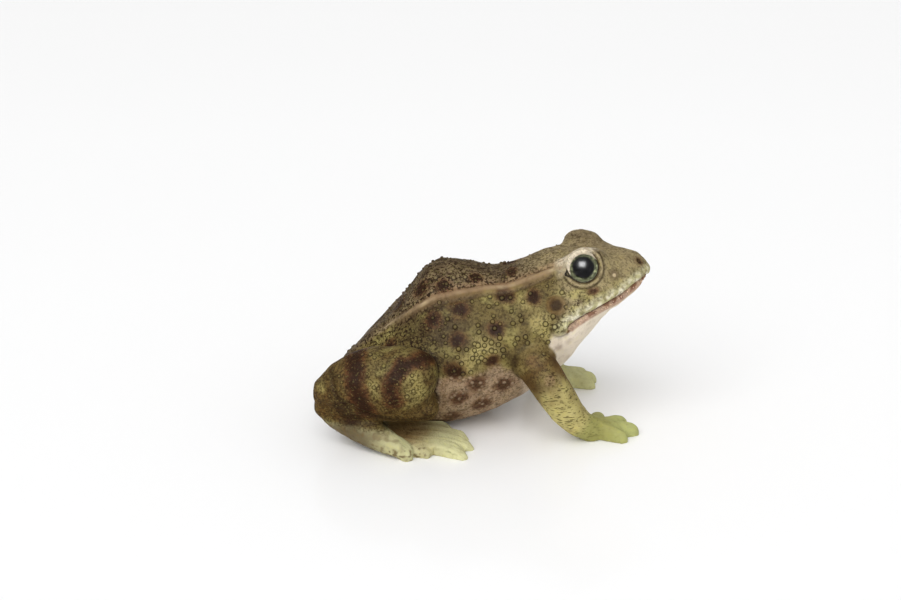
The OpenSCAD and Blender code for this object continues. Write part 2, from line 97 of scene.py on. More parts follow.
# %% Weld a copy of a casting
WELD = 0.001 * MM
GLUE_REACH = 0.4 * MM
SEAM_DEPTH = 1.6 * MM
LIMBS = ["right_foreleg", "left_foreleg", "right_hind_leg", "left_hind_leg"]


def cad_copy(node):
    casting = bmesh.new()
    casting.from_mesh(frame["nodes"][node].data)
    bmesh.ops.remove_doubles(casting, verts=casting.verts, dist=WELD)
    return casting


def sink_seam(limb, body_tree):
    """Moves the limb's cut face into the body, so that the glue line closes."""
    for v in limb.verts:
        _, normal, _, gap = body_tree.find_nearest(v.co)
        if gap < GLUE_REACH:
            v.co -= normal * SEAM_DEPTH


body_casting = cad_copy("body_shell")
body_tree = BVHTree.FromBMesh(body_casting)
limb_castings = {node: cad_copy(node) for node in LIMBS}
for casting in limb_castings.values():
    sink_seam(casting, body_tree)
print("welded castings:", {n: len(c.verts) for n, c in limb_castings.items()})

# %% [markdown]
# ## One skin over body and arms
# On the figurine the arms flow out of the shoulders with no joint to be seen, while each
# thigh lies against the flank with a crease round it. So the arms are melted into the body,
# and each hind leg keeps a skin of its own. The pour hole is stopped first, because voxels
# only treat a space as solid when nothing leads into it.

# %% Melt castings into a skin
STOPPER_R = 9 * MM
STOPPER_LENGTH = 9 * MM
STOPPER_DROP = 1.5 * MM
BODY_VOXEL = 0.72 * MM
LEG_VOXEL = 0.5 * MM


def stop_pour_hole(casting):
    low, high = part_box("pour_hole_plug")
    middle = (low + high) / 2
    place = Matrix.Translation((middle.x, middle.y, high.z - STOPPER_DROP))
    bmesh.ops.create_cone(casting, cap_ends=True, segments=32, radius1=STOPPER_R,
                          radius2=STOPPER_R, depth=STOPPER_LENGTH, matrix=place)


def into_piece(clay, name):
    """Turns a worked bmesh into a mesh object in the scene."""
    mesh = bpy.data.meshes.new(name)
    clay.to_mesh(mesh)
    clay.free()
    piece = bpy.data.objects.new(name, mesh)
    bpy.context.scene.collection.objects.link(piece)
    return piece


def melt(name, castings, voxel):
    lump = bmesh.new()
    for casting in castings:
        part = bpy.data.meshes.new("part")
        casting.to_mesh(part)
        lump.from_mesh(part)
        bpy.data.meshes.remove(part)
        casting.free()
    skin = into_piece(lump, name)
    raw = skin.data
    remesh = skin.modifiers.new("voxels", "REMESH")
    remesh.mode = "VOXEL"
    remesh.voxel_size = voxel
    graph = bpy.context.evaluated_depsgraph_get()
    melted = bpy.data.meshes.new_from_object(skin.evaluated_get(graph))
    skin.modifiers.clear()
    skin.data = melted
    bpy.data.meshes.remove(raw)
    melted.name = name
    print(name, "has", len(melted.polygons), "faces after melting")
    return skin


stop_pour_hole(body_casting)
arm_castings = [limb_castings["right_foreleg"], limb_castings["left_foreleg"]]
body_skin = melt("body_skin", [body_casting, *arm_castings], BODY_VOXEL)
right_leg_skin = melt("right_hind_leg_skin", [limb_castings["right_hind_leg"]], LEG_VOXEL)
left_leg_skin = melt("left_hind_leg_skin", [limb_castings["left_hind_leg"]], LEG_VOXEL)
leg_skins = (right_leg_skin, left_leg_skin)

# %% [markdown]
# ## Rubbing away the facets
# The melted skins still show the flats of the CAD model. Smoothing moves each vertex towards
# its neighbours, like rubbing clay with a thumb. Fingers and toes are thin and would melt
# away, so they get only a few passes, while the body and thighs get many.

# %% Rub the skins smooth
WRIST_HEIGHT = 11
HAND_START = 24
TOE_HEIGHT = 9.5
EYE_SEAT_X, EYE_SEAT_Y, EYE_SEAT_Z = 40.8, 17, 61
BODY_RUBS, LEG_RUBS = (3, 24), (4, 26)


def rub(skin, passes, where=None, chosen=None):
    """Smooths the vertices that the function or the mask picks, or all of them."""
    clay = bmesh.new()
    clay.from_mesh(skin.data)
    if chosen is None:
        rubbed = [v for v in clay.verts if where is None or where(v.co / MM)]
    else:
        rubbed = [v for v in clay.verts if chosen[v.index]]
    for _ in range(passes):
        bmesh.ops.smooth_vert(clay, verts=rubbed, factor=0.5,
                              use_axis_x=True, use_axis_y=True, use_axis_z=True)
    clay.to_mesh(skin.data)
    clay.free()


def near_eye_seat(p):
    return abs(p.x - EYE_SEAT_X) < 9 and abs(abs(p.y) - EYE_SEAT_Y) < 6 and p.z > EYE_SEAT_Z


def broad_body(p):
    in_hand = p.x > HAND_START and p.z < WRIST_HEIGHT
    return not in_hand and not near_eye_seat(p)


rub(body_skin, BODY_RUBS[0])
rub(body_skin, BODY_RUBS[1], broad_body)
for leg_skin in leg_skins:
    rub(leg_skin, LEG_RUBS[0])
    rub(leg_skin, LEG_RUBS[1], lambda p: p.z > TOE_HEIGHT)
print("rubbed the facets away")

# %% [markdown]
# ## Working with every vertex at once
# Sculpting by code means asking the same question of a hundred thousand vertices: how far
# are you from this line, and how much should you move? NumPy answers for all of them in one
# go. Lengths here are in millimetres, and features are listed for the frog's right side and
# reach the left side by folding the left half over.

# %% Helpers for sculpting and painting
def vertex_values(skin, label):
    flat = np.empty(len(skin.data.vertices) * 3, np.float32)
    skin.data.vertices.foreach_get(label, flat)
    return flat.reshape(-1, 3).astype(np.float64)


def points_of(skin):
    return vertex_values(skin, "co") / MM


def normals_of(skin):
    return vertex_values(skin, "normal")


def set_points(skin, points):
    """Puts the vertices in new places, none of them below the ground."""
    points[:, 2] = np.maximum(points[:, 2], 0)
    skin.data.vertices.foreach_set("co", (points * MM).astype(np.float32).ravel())
    skin.data.update()


def to_right_side(points, forward=0.0):
    """Folds the left half over, after taking back how far forward it is set."""
    folded = points.copy()
    folded[:, 1] = -np.abs(folded[:, 1])
    folded[:, 0] -= np.where(points[:, 1] > 0, forward, 0.0)
    return folded


def soft(start, end, value):
    """Rises smoothly from 0 at start to 1 at end; start may be the larger."""
    t = np.clip((value - start) / (end - start), 0, 1)
    return t * t * (3 - 2 * t)


def bump(distance, reach):
    """1 where the distance is 0, falling smoothly to 0 at reach."""
    q = np.clip(np.abs(distance) / reach, 0, 1)
    return (1 - q * q) ** 2


def ripple(points, size, seed=0.0):
    offset = Vector((seed, seed * 1.7, -seed))
    return np.array([noise.noise(Vector(p) / size + offset) for p in points])


counts = {s.name: len(s.data.vertices) for s in (body_skin, *leg_skins)}
print("skin vertices:", counts)

# %% Distances to places and lines
def gap_from(points, place):
    return np.linalg.norm(points - np.array(place, float), axis=1)


def near_line(points, line):
    """Distance to a line of points, share of the way along it, and the vector from it."""
    line = [np.array(p, float) for p in line]
    gap = np.full(len(points), 1e9)
    share = np.zeros(len(points))
    away = np.zeros((len(points), 3))
    for i, (a, b) in enumerate(zip(line[:-1], line[1:])):
        run = b - a
        t = np.clip((points - a) @ run / (run @ run), 0, 1)
        off = points - (a + t[:, None] * run)
        d = np.linalg.norm(off, axis=1)
        closer = d < gap
        gap[closer], away[closer] = d[closer], off[closer]
        share[closer] = (i + t[closer]) / (len(line) - 1)
    return gap, share, away


def signed_gap(gap, away):
    """The distance to a line, counted below zero for points under it."""
    return np.where(away[:, 2] > 0, gap, -gap)


print("a point 3 mm under a place is", gap_from(np.zeros((1, 3)), (0, 0, 3))[0], "mm from it")

# %% [markdown]
# ## Where things are on the frog
# These places were read off the photograph and put on the CAD surface: the fold that runs
# along each side of the back, the line of the mouth, the eye, ear disc and nostril, and the
# dark spots. They steer both the sculpting and the paint, so that the two always agree.

# %% Places on the right side, in millimetres
FOLD = [
    (31, -12.4, 68.6), (28.1, -12.6, 67.4), (22.7, -13, 65.2), (15.1, -12.9, 62.2),
    (10.3, -13, 60.6), (3, -13.3, 60), (-2.7, -14.8, 59.6), (-9.2, -16.3, 59.1),
    (-13.2, -17.1, 58.5), (-19.3, -17.5, 56.9), (-22.9, -17.1, 55.1), (-25.4, -16.4, 53.2),
    (-29.7, -14.6, 49.5), (-37.4, -10.3, 43.4), (-42.8, -7.7, 38.5), (-47.9, -5.5, 34.1)]
MOUTH = [
    (67.6, 0, 62.9), (66.1, -6.7, 63), (61.4, -11.5, 61.1), (56.7, -15.5, 58.7),
    (52.7, -18.5, 57.2), (48.9, -20.9, 55.7), (45, -22.8, 54.1), (41.3, -24, 52.6),
    (37.5, -24.8, 50.4), (34.9, -25.3, 48.5), (33.7, -25.4, 46.8)]
EYE_AXIS = Vector((0.08, -0.95, 0.3)).normalized()
EYE_APEX = Vector((40.8, -19, 70.8))
EYE_R, EYE_DOME = 6.2, 4.4
EYE_BASE = EYE_APEX - EYE_AXIS * EYE_DOME
EYE_UP = (Vector((0, 0, 1)) - EYE_AXIS * EYE_AXIS.z).normalized()
EYE_FORE = EYE_UP.cross(EYE_AXIS)
NOSTRIL = (63.8, -4.9, 68.8)
BROW_FRONT = (46.5, -10.5, 74)
TEAR_SPOT = (53.2, -14.4, 66.1)
EAR = (29.5, -22.6, 56.1)
JAW_PAD = (31.0, -26.0, 46.8)
RIGHT_ARM = [
    (19.1, -18.1, 34.1), (21.1, -26.5, 32.6), (30.3, -32, 19.9), (36.3, -29.3, 10.7),
    (41, -28, 6.3), (62, -22, 2)]
LEFT_ARM = [
    (19.1, 18.1, 34.1), (21.1, 26.5, 32.6), (25.9, 36.5, 19.9), (25.3, 33.8, 10.7),
    (30, 32.5, 6.3), (50, 29, 2)]
ARM_R = [7.4, 8.2, 7.7, 6.8, 6.5, 13]
LEFT_LEG_FORWARD = 22.5


def eye_view(points):
    """Distance from the eye's axis, turn round it in degrees, height above its seat.

    The turn is 0 forward and 90 up.
    """
    off = points - np.array(EYE_BASE)
    fore, up, out = (off @ np.array(axis) for axis in (EYE_FORE, EYE_UP, EYE_AXIS))
    return np.hypot(fore, up), np.degrees(np.arctan2(up, fore)) % 360, out


print("the eye looks along", [round(v, 2) for v in EYE_AXIS])

# %% [markdown]
# ## Finer clay where the detail is
# A face is all small edges: lids, lips, nostrils. Making the whole skin finer would waste
# faces on the belly, so only the faces near those features are subdivided, before anything
# is pushed.

# %% Subdivide near the face and the folds
FINE_EYE, FINE_MOUTH, FINE_FOLD = 10.5, 2.6, 1.8
FINE_SPOTS = ((NOSTRIL, 2.4), (EAR, 4.2), (TEAR_SPOT, 1.6))


def refine(skin, chosen):
    clay = bmesh.new()
    clay.from_mesh(skin.data)
    edges = [e for e in clay.edges if all(chosen[v.index] for v in e.verts)]
    bmesh.ops.subdivide_edges(clay, edges=edges, cuts=1, use_grid_fill=True)
    clay.to_mesh(skin.data)
    clay.free()
    return len(edges)


where = to_right_side(points_of(body_skin))
eye_r, eye_turn, eye_out = eye_view(where)
chosen = (eye_r < FINE_EYE) & (eye_out > -6)
chosen |= near_line(where, MOUTH)[0] < FINE_MOUTH
chosen |= near_line(where, FOLD)[0] < FINE_FOLD
for place, reach in FINE_SPOTS:
    chosen |= gap_from(where, place) < reach
print("edges split:", refine(body_skin, chosen), "faces now:", len(body_skin.data.polygons))

# %% [markdown]
# ## Sculpting fold and mouth
# Each feature adds or takes away a little height along the surface. The fold is a sharp
# ridge with a furrow on each side, deeper below it. The mouth is a groove between two lips
# that end in a small pad and a crease at the corner of the jaw. The heights are only added
# up here, so that the skin is pushed once.

# %% Fold and mouth
JAW_CREASE = [(33.6, -25.4, 44.2), (31, -26, 43.4), (28.4, -26.4, 44.6), (27, -26.4, 47.4)]

body_at = points_of(body_skin)
body_right = to_right_side(body_at)
height = np.zeros(len(body_at))

fold_gap, fold_share, fold_away = near_line(body_right, FOLD)
fold_strength = soft(0.0, 0.12, fold_share) * soft(1.0, 0.75, fold_share)
furrow_below = 0.45 * bump(np.abs(fold_gap - 2.6), 1.6) * (fold_away[:, 2] < 0)
furrow_above = 0.25 * bump(np.abs(fold_gap - 2.2), 1.2) * (fold_away[:, 2] > 0)
height += fold_strength * (0.85 * bump(fold_gap, 1.6) - furrow_below - furrow_above)

mouth_gap, mouth_share, mouth_away = near_line(body_right, MOUTH)
above_mouth = signed_gap(mouth_gap, mouth_away)
upper_lip = 0.55 * bump(above_mouth - 1.5, 1.9)
lower_lip = 0.40 * bump(above_mouth + 1.5, 1.7)
groove = 0.95 * bump(above_mouth, 0.75)
height += soft(1.02, 0.93, mouth_share) * (upper_lip + lower_lip - groove)
height += 1.3 * bump(gap_from(body_right, JAW_PAD), 4.2)
jaw_gap = near_line(body_right, JAW_CREASE)[0]
height -= 0.9 * bump(jaw_gap, 1.5)
print("fold and mouth from", round(height.min(), 2), "to", round(height.max(), 2), "mm")

# %% [markdown]
# ## Sculpting the face
# Round each eye go a low hood and a thinner lower lid, over the nostrils pits with a rim,
# and behind the mouth a rimmed disc for the ear. Slow noise under it all stops the casting
# from looking machined. It is kept away from the eyes and the mouth and is weaker on the
# hands, where small forms would drown in it.

# %% Face and slow lumps
eye_r, eye_turn, eye_out = eye_view(body_right)
eye_front = soft(-7.0, -4.0, eye_out)
upper = soft(18, 45, eye_turn) * soft(208, 185, eye_turn)
lower = (1 - upper) * eye_front
height += eye_front * upper * 0.3 * bump(eye_r - 7.4, 1.6)
height += lower * (0.55 * bump(eye_r - 7.0, 1.0) - 0.55 * bump(eye_r - 8.5, 0.8))

height += 0.6 * bump(gap_from(body_right, BROW_FRONT), 4.5)
height += (1.3 * bump(above_mouth + 3.2, 3.0) * soft(0.08, 0.2, mouth_share)
           * soft(0.6, 0.35, mouth_share))
height -= 1.5 * bump(above_mouth + 2.4, 3.2) * soft(0.16, 0.04, mouth_share)

nostril_gap = gap_from(body_right, NOSTRIL)
height -= 1.0 * bump(nostril_gap, 1.2)
height += 0.35 * bump(nostril_gap - 1.7, 0.8)
height += 0.5 * bump(gap_from(body_right, TEAR_SPOT), 1.0)
ear_gap = gap_from(body_right, EAR)
height += 0.45 * bump(ear_gap - 3.2, 0.9) - 0.35 * bump(ear_gap, 2.6)

in_hand = (body_at[:, 0] > HAND_START) & (body_at[:, 2] < WRIST_HEIGHT)
lumps = 0.42 * ripple(body_at, 9.0, 3.1) + 0.20 * ripple(body_at, 3.6, 8.4)
lumps = lumps * np.where(in_hand, 0.35, 1.0) * (1 - 0.8 * (eye_r < 9) * eye_front)
height += lumps * soft(0.8, 2.5, np.abs(above_mouth))
set_points(body_skin, body_at + normals_of(body_skin) * height[:, None])
print("relief from", round(height.min(), 2), "to", round(height.max(), 2), "mm")

# %% [markdown]
# ## Sculpting the hind legs
# Each folded leg is two swellings, thigh and calf, with a shallow valley between them that
# the dark bar follows, and a crease where the heel folds under. On the foot the web between
# the toes is filled almost level with them and then sinks into a shallow bowl near the heel,
# as it does on the casting. The top of the web is rubbed once more at the end.

# %% Leg relief
BAR_REAR = [
    (-50.8, -30, 40), (-51.3, -39, 39), (-51.4, -42.9, 36), (-51.1, -45.8, 30.2),
    (-49.1, -45.8, 23.2), (-46.5, -43.7, 18.8)]
BAR_FRONT = [
    (-21.5, -34, 40), (-22.2, -37, 39.7), (-27.5, -41.9, 39.6), (-32.3, -44.4, 38),
    (-35.5, -46.3, 35), (-36.8, -47.5, 29.1), (-35, -47.1, 24.3)]
VALLEY = [
    (-38, -26, 42), (-38, -36, 42.5), (-37.5, -42, 39.5), (-36.8, -46, 34), (-36.5, -47.3, 29)]
HEEL_CREASE = [
    (-61.5, -37, 35), (-60.5, -41.1, 31.8), (-59.6, -43.2, 26.8), (-56.2, -43.7, 22),
    (-50, -43.4, 18.7), (-43, -41.3, 16), (-34, -40.5, 14.8), (-22, -40, 15.2)]
KNEE_NOTCH = (-67, -34, 16.5)
ANKLE = (-47.4, -27.5)
TOE_TURNS = (-10.5, 2.5, 14.5, 27, 51)


def foot_view(points):
    """Reach from the ankle, turn about it in degrees, and gap to the line of the nearest toe."""
    off = points[:, :2] - np.array(ANKLE)
    reach = np.hypot(off[:, 0], off[:, 1])
    turn = np.degrees(np.arctan2(-off[:, 1], off[:, 0]))
    toe_gap = np.min([np.abs(np.sin(np.radians(turn - a))) * reach for a in TOE_TURNS], axis=0)
    return reach, turn, toe_gap


def sculpt_leg(skin):
    at = points_of(skin)
    right = to_right_side(at, LEFT_LEG_FORWARD)
    rise = -0.9 * bump(near_line(right, VALLEY)[0], 4.5)
    rise -= 0.8 * bump(near_line(right, HEEL_CREASE)[0], 1.7)
    rise += 1.2 * bump(gap_from(right, KNEE_NOTCH), 6.5)
    rise += 0.45 * ripple(at, 8.0, 5.2) * soft(6, 14, at[:, 2]) + 0.16 * ripple(at, 3.2, 1.3)
    reach, turn, toe_gap = foot_view(right)
    on_foot = soft(8.5, 6.0, at[:, 2]) * soft(9, 16, reach) * (normals_of(skin)[:, 2] > 0.2)
    rise += on_foot * 1.05 * soft(1.0, 2.6, toe_gap) * soft(46, 38, reach)
    rise -= on_foot * 0.7 * bump(reach - 18, 12) * bump(turn - 16, 30)
    set_points(skin, at + normals_of(skin) * rise[:, None])
    rub(skin, 10, chosen=on_foot * (reach < 38) > 0.5)
    return rise


for leg_skin in leg_skins:
    rise = sculpt_leg(leg_skin)
    print(leg_skin.name, "relief from", round(rise.min(), 2), "to", round(rise.max(), 2), "mm")

# %% [markdown]
# ## Airbrush colours
# The painter starts with soft airbrushed zones: dark brown back, olive flanks, pinkish belly,
# cream throat, lime hands and feet, then spots and bars, then a dark wash in the creases that
# is also painted shade there. Each layer here is a mask that mixes one colour into the last,
# and the result is kept on the mesh as a colour attribute that the material reads.

# %% Palette and brushes
def paint_pot(red, green, blue):
    def linear(c):
        c /= 255
        return c / 12.92 if c <= 0.04045 else ((c + 0.055) / 1.055) ** 2.4
    return np.array([linear(red), linear(green), linear(blue)])


OLIVE = paint_pot(112, 97, 58)
LEAF = paint_pot(168, 158, 95)
FLANK_PALE_AND_HIGHLIGHT = paint_pot(166, 152, 98)
THIGH_PALE_AND_HIGHLIGHT = paint_pot(160, 146, 90)
BARK = paint_pot(130, 112, 86)
DARK_BARK = paint_pot(64, 50, 36)
SPOT = paint_pot(46, 27, 18)
RUST = paint_pot(100, 60, 38)
SAND = paint_pot(200, 180, 144)
TAN = paint_pot(156, 126, 96)
BELLY = paint_pot(172, 147, 120)
PEBBLE = paint_pot(188, 164, 134)
THROAT = paint_pot(234, 221, 202)
KHAKI = paint_pot(162, 147, 110)
LIP_LIGHT = paint_pot(192, 186, 142)
LIP_WHITE = paint_pot(236, 230, 206)
LIP_PINK = paint_pot(196, 166, 144)
LIP_RED = paint_pot(122, 78, 60)
LID = paint_pot(230, 217, 192)
LIME = paint_pot(198, 195, 149)
FINGER = paint_pot(180, 184, 122)
HAND = paint_pot(155, 152, 92)
ARM = paint_pot(190, 178, 117)
ARM_BROWN = paint_pot(90, 64, 33)
WEB = paint_pot(156, 124, 76)
# Dark wash for specks and dashes, and painted shade in creases, hollows and joints
WASH_AND_SHADE = paint_pot(46, 31, 18)


def brush(colour, mask, pot):
    """Mixes a pot into the colours, as strongly as the mask says."""
    colour += (pot - colour) * np.clip(mask, 0, 1)[:, None]


def blot(points, place, reach, wobble, edge=0.55):
    """A round mask with an uneven edge, softer the smaller its edge share is."""
    return soft(reach * 1.2, reach * edge, gap_from(points, place) + wobble)


print("the olive is", [round(c, 3) for c in OLIVE])

# %% Measure hollows and gaps
def hollows(skin):
    """How far each vertex lies below the mean of its neighbours, in millimetres."""
    mesh = skin.data
    ends = np.empty(len(mesh.edges) * 2, np.int32)
    mesh.edges.foreach_get("vertices", ends)
    a, b = ends.reshape(-1, 2).T
    at = points_of(skin)
    for _ in range(2):
        total = np.zeros_like(at)
        count = np.bincount(a, minlength=len(at)) + np.bincount(b, minlength=len(at))
        for k in range(3):
            total[:, k] = np.bincount(a, at[b, k], len(at)) + np.bincount(b, at[a, k], len(at))
        at = total / np.maximum(count, 1)[:, None]
    return np.einsum("ij,ij->i", at - points_of(skin), normals_of(skin))


def surface_tree(skin):
    mesh = skin.data
    places = [v.co for v in mesh.vertices]
    return BVHTree.FromPolygons(places, [p.vertices for p in mesh.polygons])


def gap_to(points, skin, reach):
    """Distance in millimetres from each point to a skin, where it is less than reach."""
    tree = surface_tree(skin)
    box = points_of(skin)
    near = np.all((points > box.min(0) - reach) & (points < box.max(0) + reach), axis=1)
    gaps = np.full(len(points), float(reach))
    for i in np.flatnonzero(near):
        found = tree.find_nearest(Vector(points[i]) * MM, reach * MM)
        if found[0] is not None:
            gaps[i] = found[3] / MM
    return gaps


print("hollows and gaps can be measured")

# %% [markdown]
# ## Painting the back, flanks and belly
# The order matters, as it does with real paint: large zones first, then the spots, then the
# fine lines of fold, lips and lids, and the wash and painted shade last. The flanks are a cloudy
# olive, the back above the fold is brown, and the belly meets the flank along an uneven edge.

# %% Zones of the body
BELLY_EDGE_X = [-60, -34, -19, -6, 0, 2.5, 7, 13, 22]
BELLY_EDGE_Z = [9, 14, 27.8, 28.4, 29.5, 31.6, 31.8, 28, 24]
fold_line = np.array(FOLD[::-1])
mouth_line = np.array(MOUTH[::-1])

body_at = points_of(body_skin)
body_right = to_right_side(body_at)
facing = normals_of(body_skin)
x, y, z = body_right.T
wobble = ripple(body_at, 5.0, 11.0)
fine = ripple(body_at, 1.8, 2.0)
colour = np.tile(OLIVE, (len(x), 1))
brush(colour, 0.55 * soft(-0.05, 0.45, ripple(body_at, 7.0, 20.0)), LEAF)
brush(colour, 0.45 * soft(0.05, 0.5, ripple(body_at, 5.0, 31.0)), DARK_BARK)

fold_height = np.interp(x, np.r_[-62, fold_line[:, 0]], np.r_[20, fold_line[:, 2]])
over_fold = soft(-1.2, 1.2, z - fold_height) * soft(36, 28, x)
brush(colour, 0.85 * over_fold, BARK)
brush(colour, 0.5 * over_fold * soft(0.0, 0.5, ripple(body_at, 4.0, 40.0)), DARK_BARK)
brush(colour, 0.45 * over_fold * soft(10, 3, np.abs(y)) * soft(24, 6, x), DARK_BARK)
brush(colour, 0.6 * over_fold * soft(8, 26, x), KHAKI)
rear_flank = soft(4, -24, x) * soft(34, 44, z + 0.3 * x + 6)
brush(colour, 0.6 * rear_flank * (1 - over_fold), DARK_BARK)
fold_gap, fold_share, fold_away = near_line(body_right, FOLD)
above_fold = signed_gap(fold_gap, fold_away)
brush(colour, 0.5 * bump(above_fold - 2.4, 3.0) * soft(0.85, 0.5, fold_share), TAN)

brush(colour, 0.85 * soft(27, 36, x) * soft(40, 46, z), KHAKI)
brush(colour, 0.2 * soft(30, 40, x) * soft(0.55, 0.9, facing[:, 2]), BARK)
brush(colour, 0.7 * soft(-0.3, 0.3, wobble) * soft(26, 34, x) * soft(68, 58, z), LEAF * 1.1)
brush(colour, 0.3 * soft(0.0, 0.5, fine) * soft(32, 40, x), BARK)
brush(colour, 0.6 * soft(71.5, 75, z), BARK * 0.8)

belly_edge = np.interp(x, BELLY_EDGE_X, BELLY_EDGE_Z) + 2.0 * wobble
belly = soft(2.2, -2.2, z - belly_edge) * soft(26, 20, x)
brush(colour, 0.9 * belly, BELLY)
brush(colour, 0.25 * belly * soft(0.0, 0.5, ripple(body_at, 6.0, 90.0)), TAN)
print("the belly takes", round(100 * belly.mean()), "% of the body's vertices")

# %% [markdown]
# ## Painting throat and lips
# The throat is cream with a few red blushes. The upper lip is edged in broken white, with
# olive wrinkles above it, the lower lip is pink and worn red, and a dark line lies between
# them. All of these follow the line of the mouth, by the distance above or below it.

# %% Throat and lips
BLUSHES = [((34, -22, 41), 2.2), ((40, -20, 46.5), 1.8), ((30.5, -24, 38.5), 2.4)]

throat_edge = 27.0 + np.maximum(0, 38 - z) * 0.32
lip_drop = np.interp(x, mouth_line[:, 0], mouth_line[:, 2]) - 2.6
under_jaw = soft(0.8, -0.8, z - np.where(x < 33.7, 45.6, lip_drop))
throat = soft(-0.7, 0.7, x + 0.5 * wobble - throat_edge) * under_jaw
chest = soft(30, 24, z) * soft(14, 22, x)
brush(colour, np.maximum(throat, 0.9 * chest), THROAT)
brush(colour, 0.18 * throat * soft(0.1, 0.6, wobble), TAN)
for place, reach in BLUSHES:
    brush(colour, 0.45 * throat * blot(body_right, place, reach, wobble, 0.2), LIP_RED)

mouth_gap, mouth_share, mouth_away = near_line(body_right, MOUTH)
above_mouth = signed_gap(mouth_gap, mouth_away)
before_corner = soft(1.0, 0.97, mouth_share)
upper_lip = soft(5.6, 2.4, above_mouth) * soft(-0.3, 0.3, above_mouth) * before_corner
brush(colour, 0.85 * upper_lip, LIP_LIGHT)
lip_edge = soft(4.6, 1.4, above_mouth) * soft(0.1, 0.7, above_mouth) * before_corner
brush(colour, 0.85 * lip_edge * soft(-0.25, 0.3, ripple(body_at, 2.4, 52.0)), LIP_WHITE)
wrinkled = soft(7.0, 3.0, above_mouth) * soft(0.3, 1.2, above_mouth)
brush(colour, 0.55 * wrinkled * soft(0.05, 0.4, ripple(body_at, 1.5, 53.0)), OLIVE)
lower_lip = soft(-3.3, -2.4, above_mouth) * soft(0.2, -0.2, above_mouth)
brush(colour, lower_lip * soft(1.0, 0.98, mouth_share), LIP_PINK)
worn_lip = soft(-0.05, 0.3, ripple(body_at, 2.6, 50.0))
brush(colour, 0.85 * bump(above_mouth + 0.9, 1.8) * worn_lip, LIP_RED)
brush(colour, 0.9 * bump(above_mouth, 0.55) * before_corner, SPOT)
# Painted shade in the crease at the corner of the jaw
brush(colour, 0.6 * bump(jaw_gap, 1.3), WASH_AND_SHADE)
brush(colour, 0.7 * blot(body_right, JAW_PAD, 3.2, 0), LIP_LIGHT)
print("the throat takes", round(100 * throat.mean()), "% of the body's vertices")

# %% [markdown]
# ## Painting spots, ear and nostril
# Every dark spot is blotted twice: a wide rust halo, then a smaller dark heart with a more
# ragged edge. The ear disc, the nostril and the pale dot before the eye are made the same
# way. Patches of light olive go on first, where the photograph is brightest.

# %% Spots
SPOTS = [
    ((8.6, -15.5, 57.9), 3.4), ((-9.2, -20.7, 53.8), 3.3), ((-20.1, -22.6, 49.8), 3.0),
    ((5.3, -25.1, 46.4), 2.9), ((-9.8, -27.5, 43.1), 2.9), ((-11.2, -30.7, 30.5), 3.4),
    ((3.6, -29.3, 34.7), 2.4), ((-2.3, -28.4, 24.3), 3.3), ((8.3, -24.9, 22.5), 3.4),
    ((-16.1, -13.9, 61.7), 2.8), ((-3.1, -10.2, 63.4), 2.2), ((11.6, -5.8, 64.9), 2.4),
    ((-25, -10.6, 58.8), 3.2), ((-9.7, -27.5, 17.9), 3.2), ((-0.2, -22.8, 13.6), 3.4),
    ((-12.4, -22, 7.2), 3.0), ((-37.8, -18.1, 36.1), 3.0), ((-34, -4, 50), 2.6),
    ((20.6, -18.7, 58.2), 2.6)]
FLANK_PATCHES = [
    ((0.5, -29, 38.5), 8), ((23, -25.5, 50), 6), ((18, -20, 57), 5), ((26, -26, 45), 4),
    ((-6, -30, 33), 6)]

# Light olive patches: partly paint, partly painted highlight on the bulges of the flank
for place, reach in FLANK_PATCHES:
    brush(colour, 0.8 * blot(body_right, place, reach, 1.5 * wobble, 0.2), FLANK_PALE_AND_HIGHLIGHT)
ragged = 1.3 * wobble + 0.7 * fine
for place, reach in SPOTS:
    halo = blot(body_right, place, reach * 1.6, 1.3 * wobble, 0.4)
    heart = blot(body_right, place, reach * 1.12, ragged, 0.5)
    brush(colour, 0.75 * halo, RUST)
    brush(colour, (0.95 - 0.45 * belly) * heart, SPOT)
ear_gap = gap_from(body_right, EAR)
brush(colour, 0.5 * soft(5.2, 3.0, ear_gap), RUST)
brush(colour, 0.85 * soft(3.1, 1.6, ear_gap + 0.3 * fine), SPOT)
nostril_gap = gap_from(body_right, NOSTRIL)
brush(colour, 0.5 * soft(3.4, 1.2, nostril_gap), RUST)
brush(colour, 0.9 * soft(1.8, 0.9, nostril_gap), SPOT)
tear_gap = gap_from(body_right, TEAR_SPOT)
brush(colour, 0.75 * soft(3.6, 1.0, tear_gap), BARK * 0.7)
brush(colour, 0.9 * soft(1.0, 0.6, tear_gap), SAND)
print("spots on each side:", len(SPOTS))

# %% [markdown]
# ## Painting fold and lids
# The crest of the fold is a sand-coloured line with a rust line above it and a dark line of
# painted shade in the furrow below. Round the eye, masks are written in the eye's own terms,
# distance and turn, so that the cream hood, the lower lid with painted shade in its groove and
# the spot under the eye all follow the seat.

# %% Fold and lids
UNDER_EYE_R, UNDER_EYE_TURN = 10.3, 290
RIGHT_HOOD, LEFT_HOOD = 9.6, 8.0

fold_strength = soft(0.0, 0.10, fold_share) * soft(1.0, 0.7, fold_share)
brush(colour, 0.35 * fold_strength * soft(3.4, 1.2, np.abs(above_fold + 0.6)), TAN)
brush(colour, fold_strength * soft(1.15, 0.35, np.abs(above_fold)), SAND)
brush(colour, 0.4 * fold_strength * bump(above_fold - 2.0, 0.5), RUST)
# Painted shade: a dark line in the furrow below the fold
brush(colour, 0.45 * fold_strength * bump(above_fold + 2.7, 1.3), DARK_BARK)

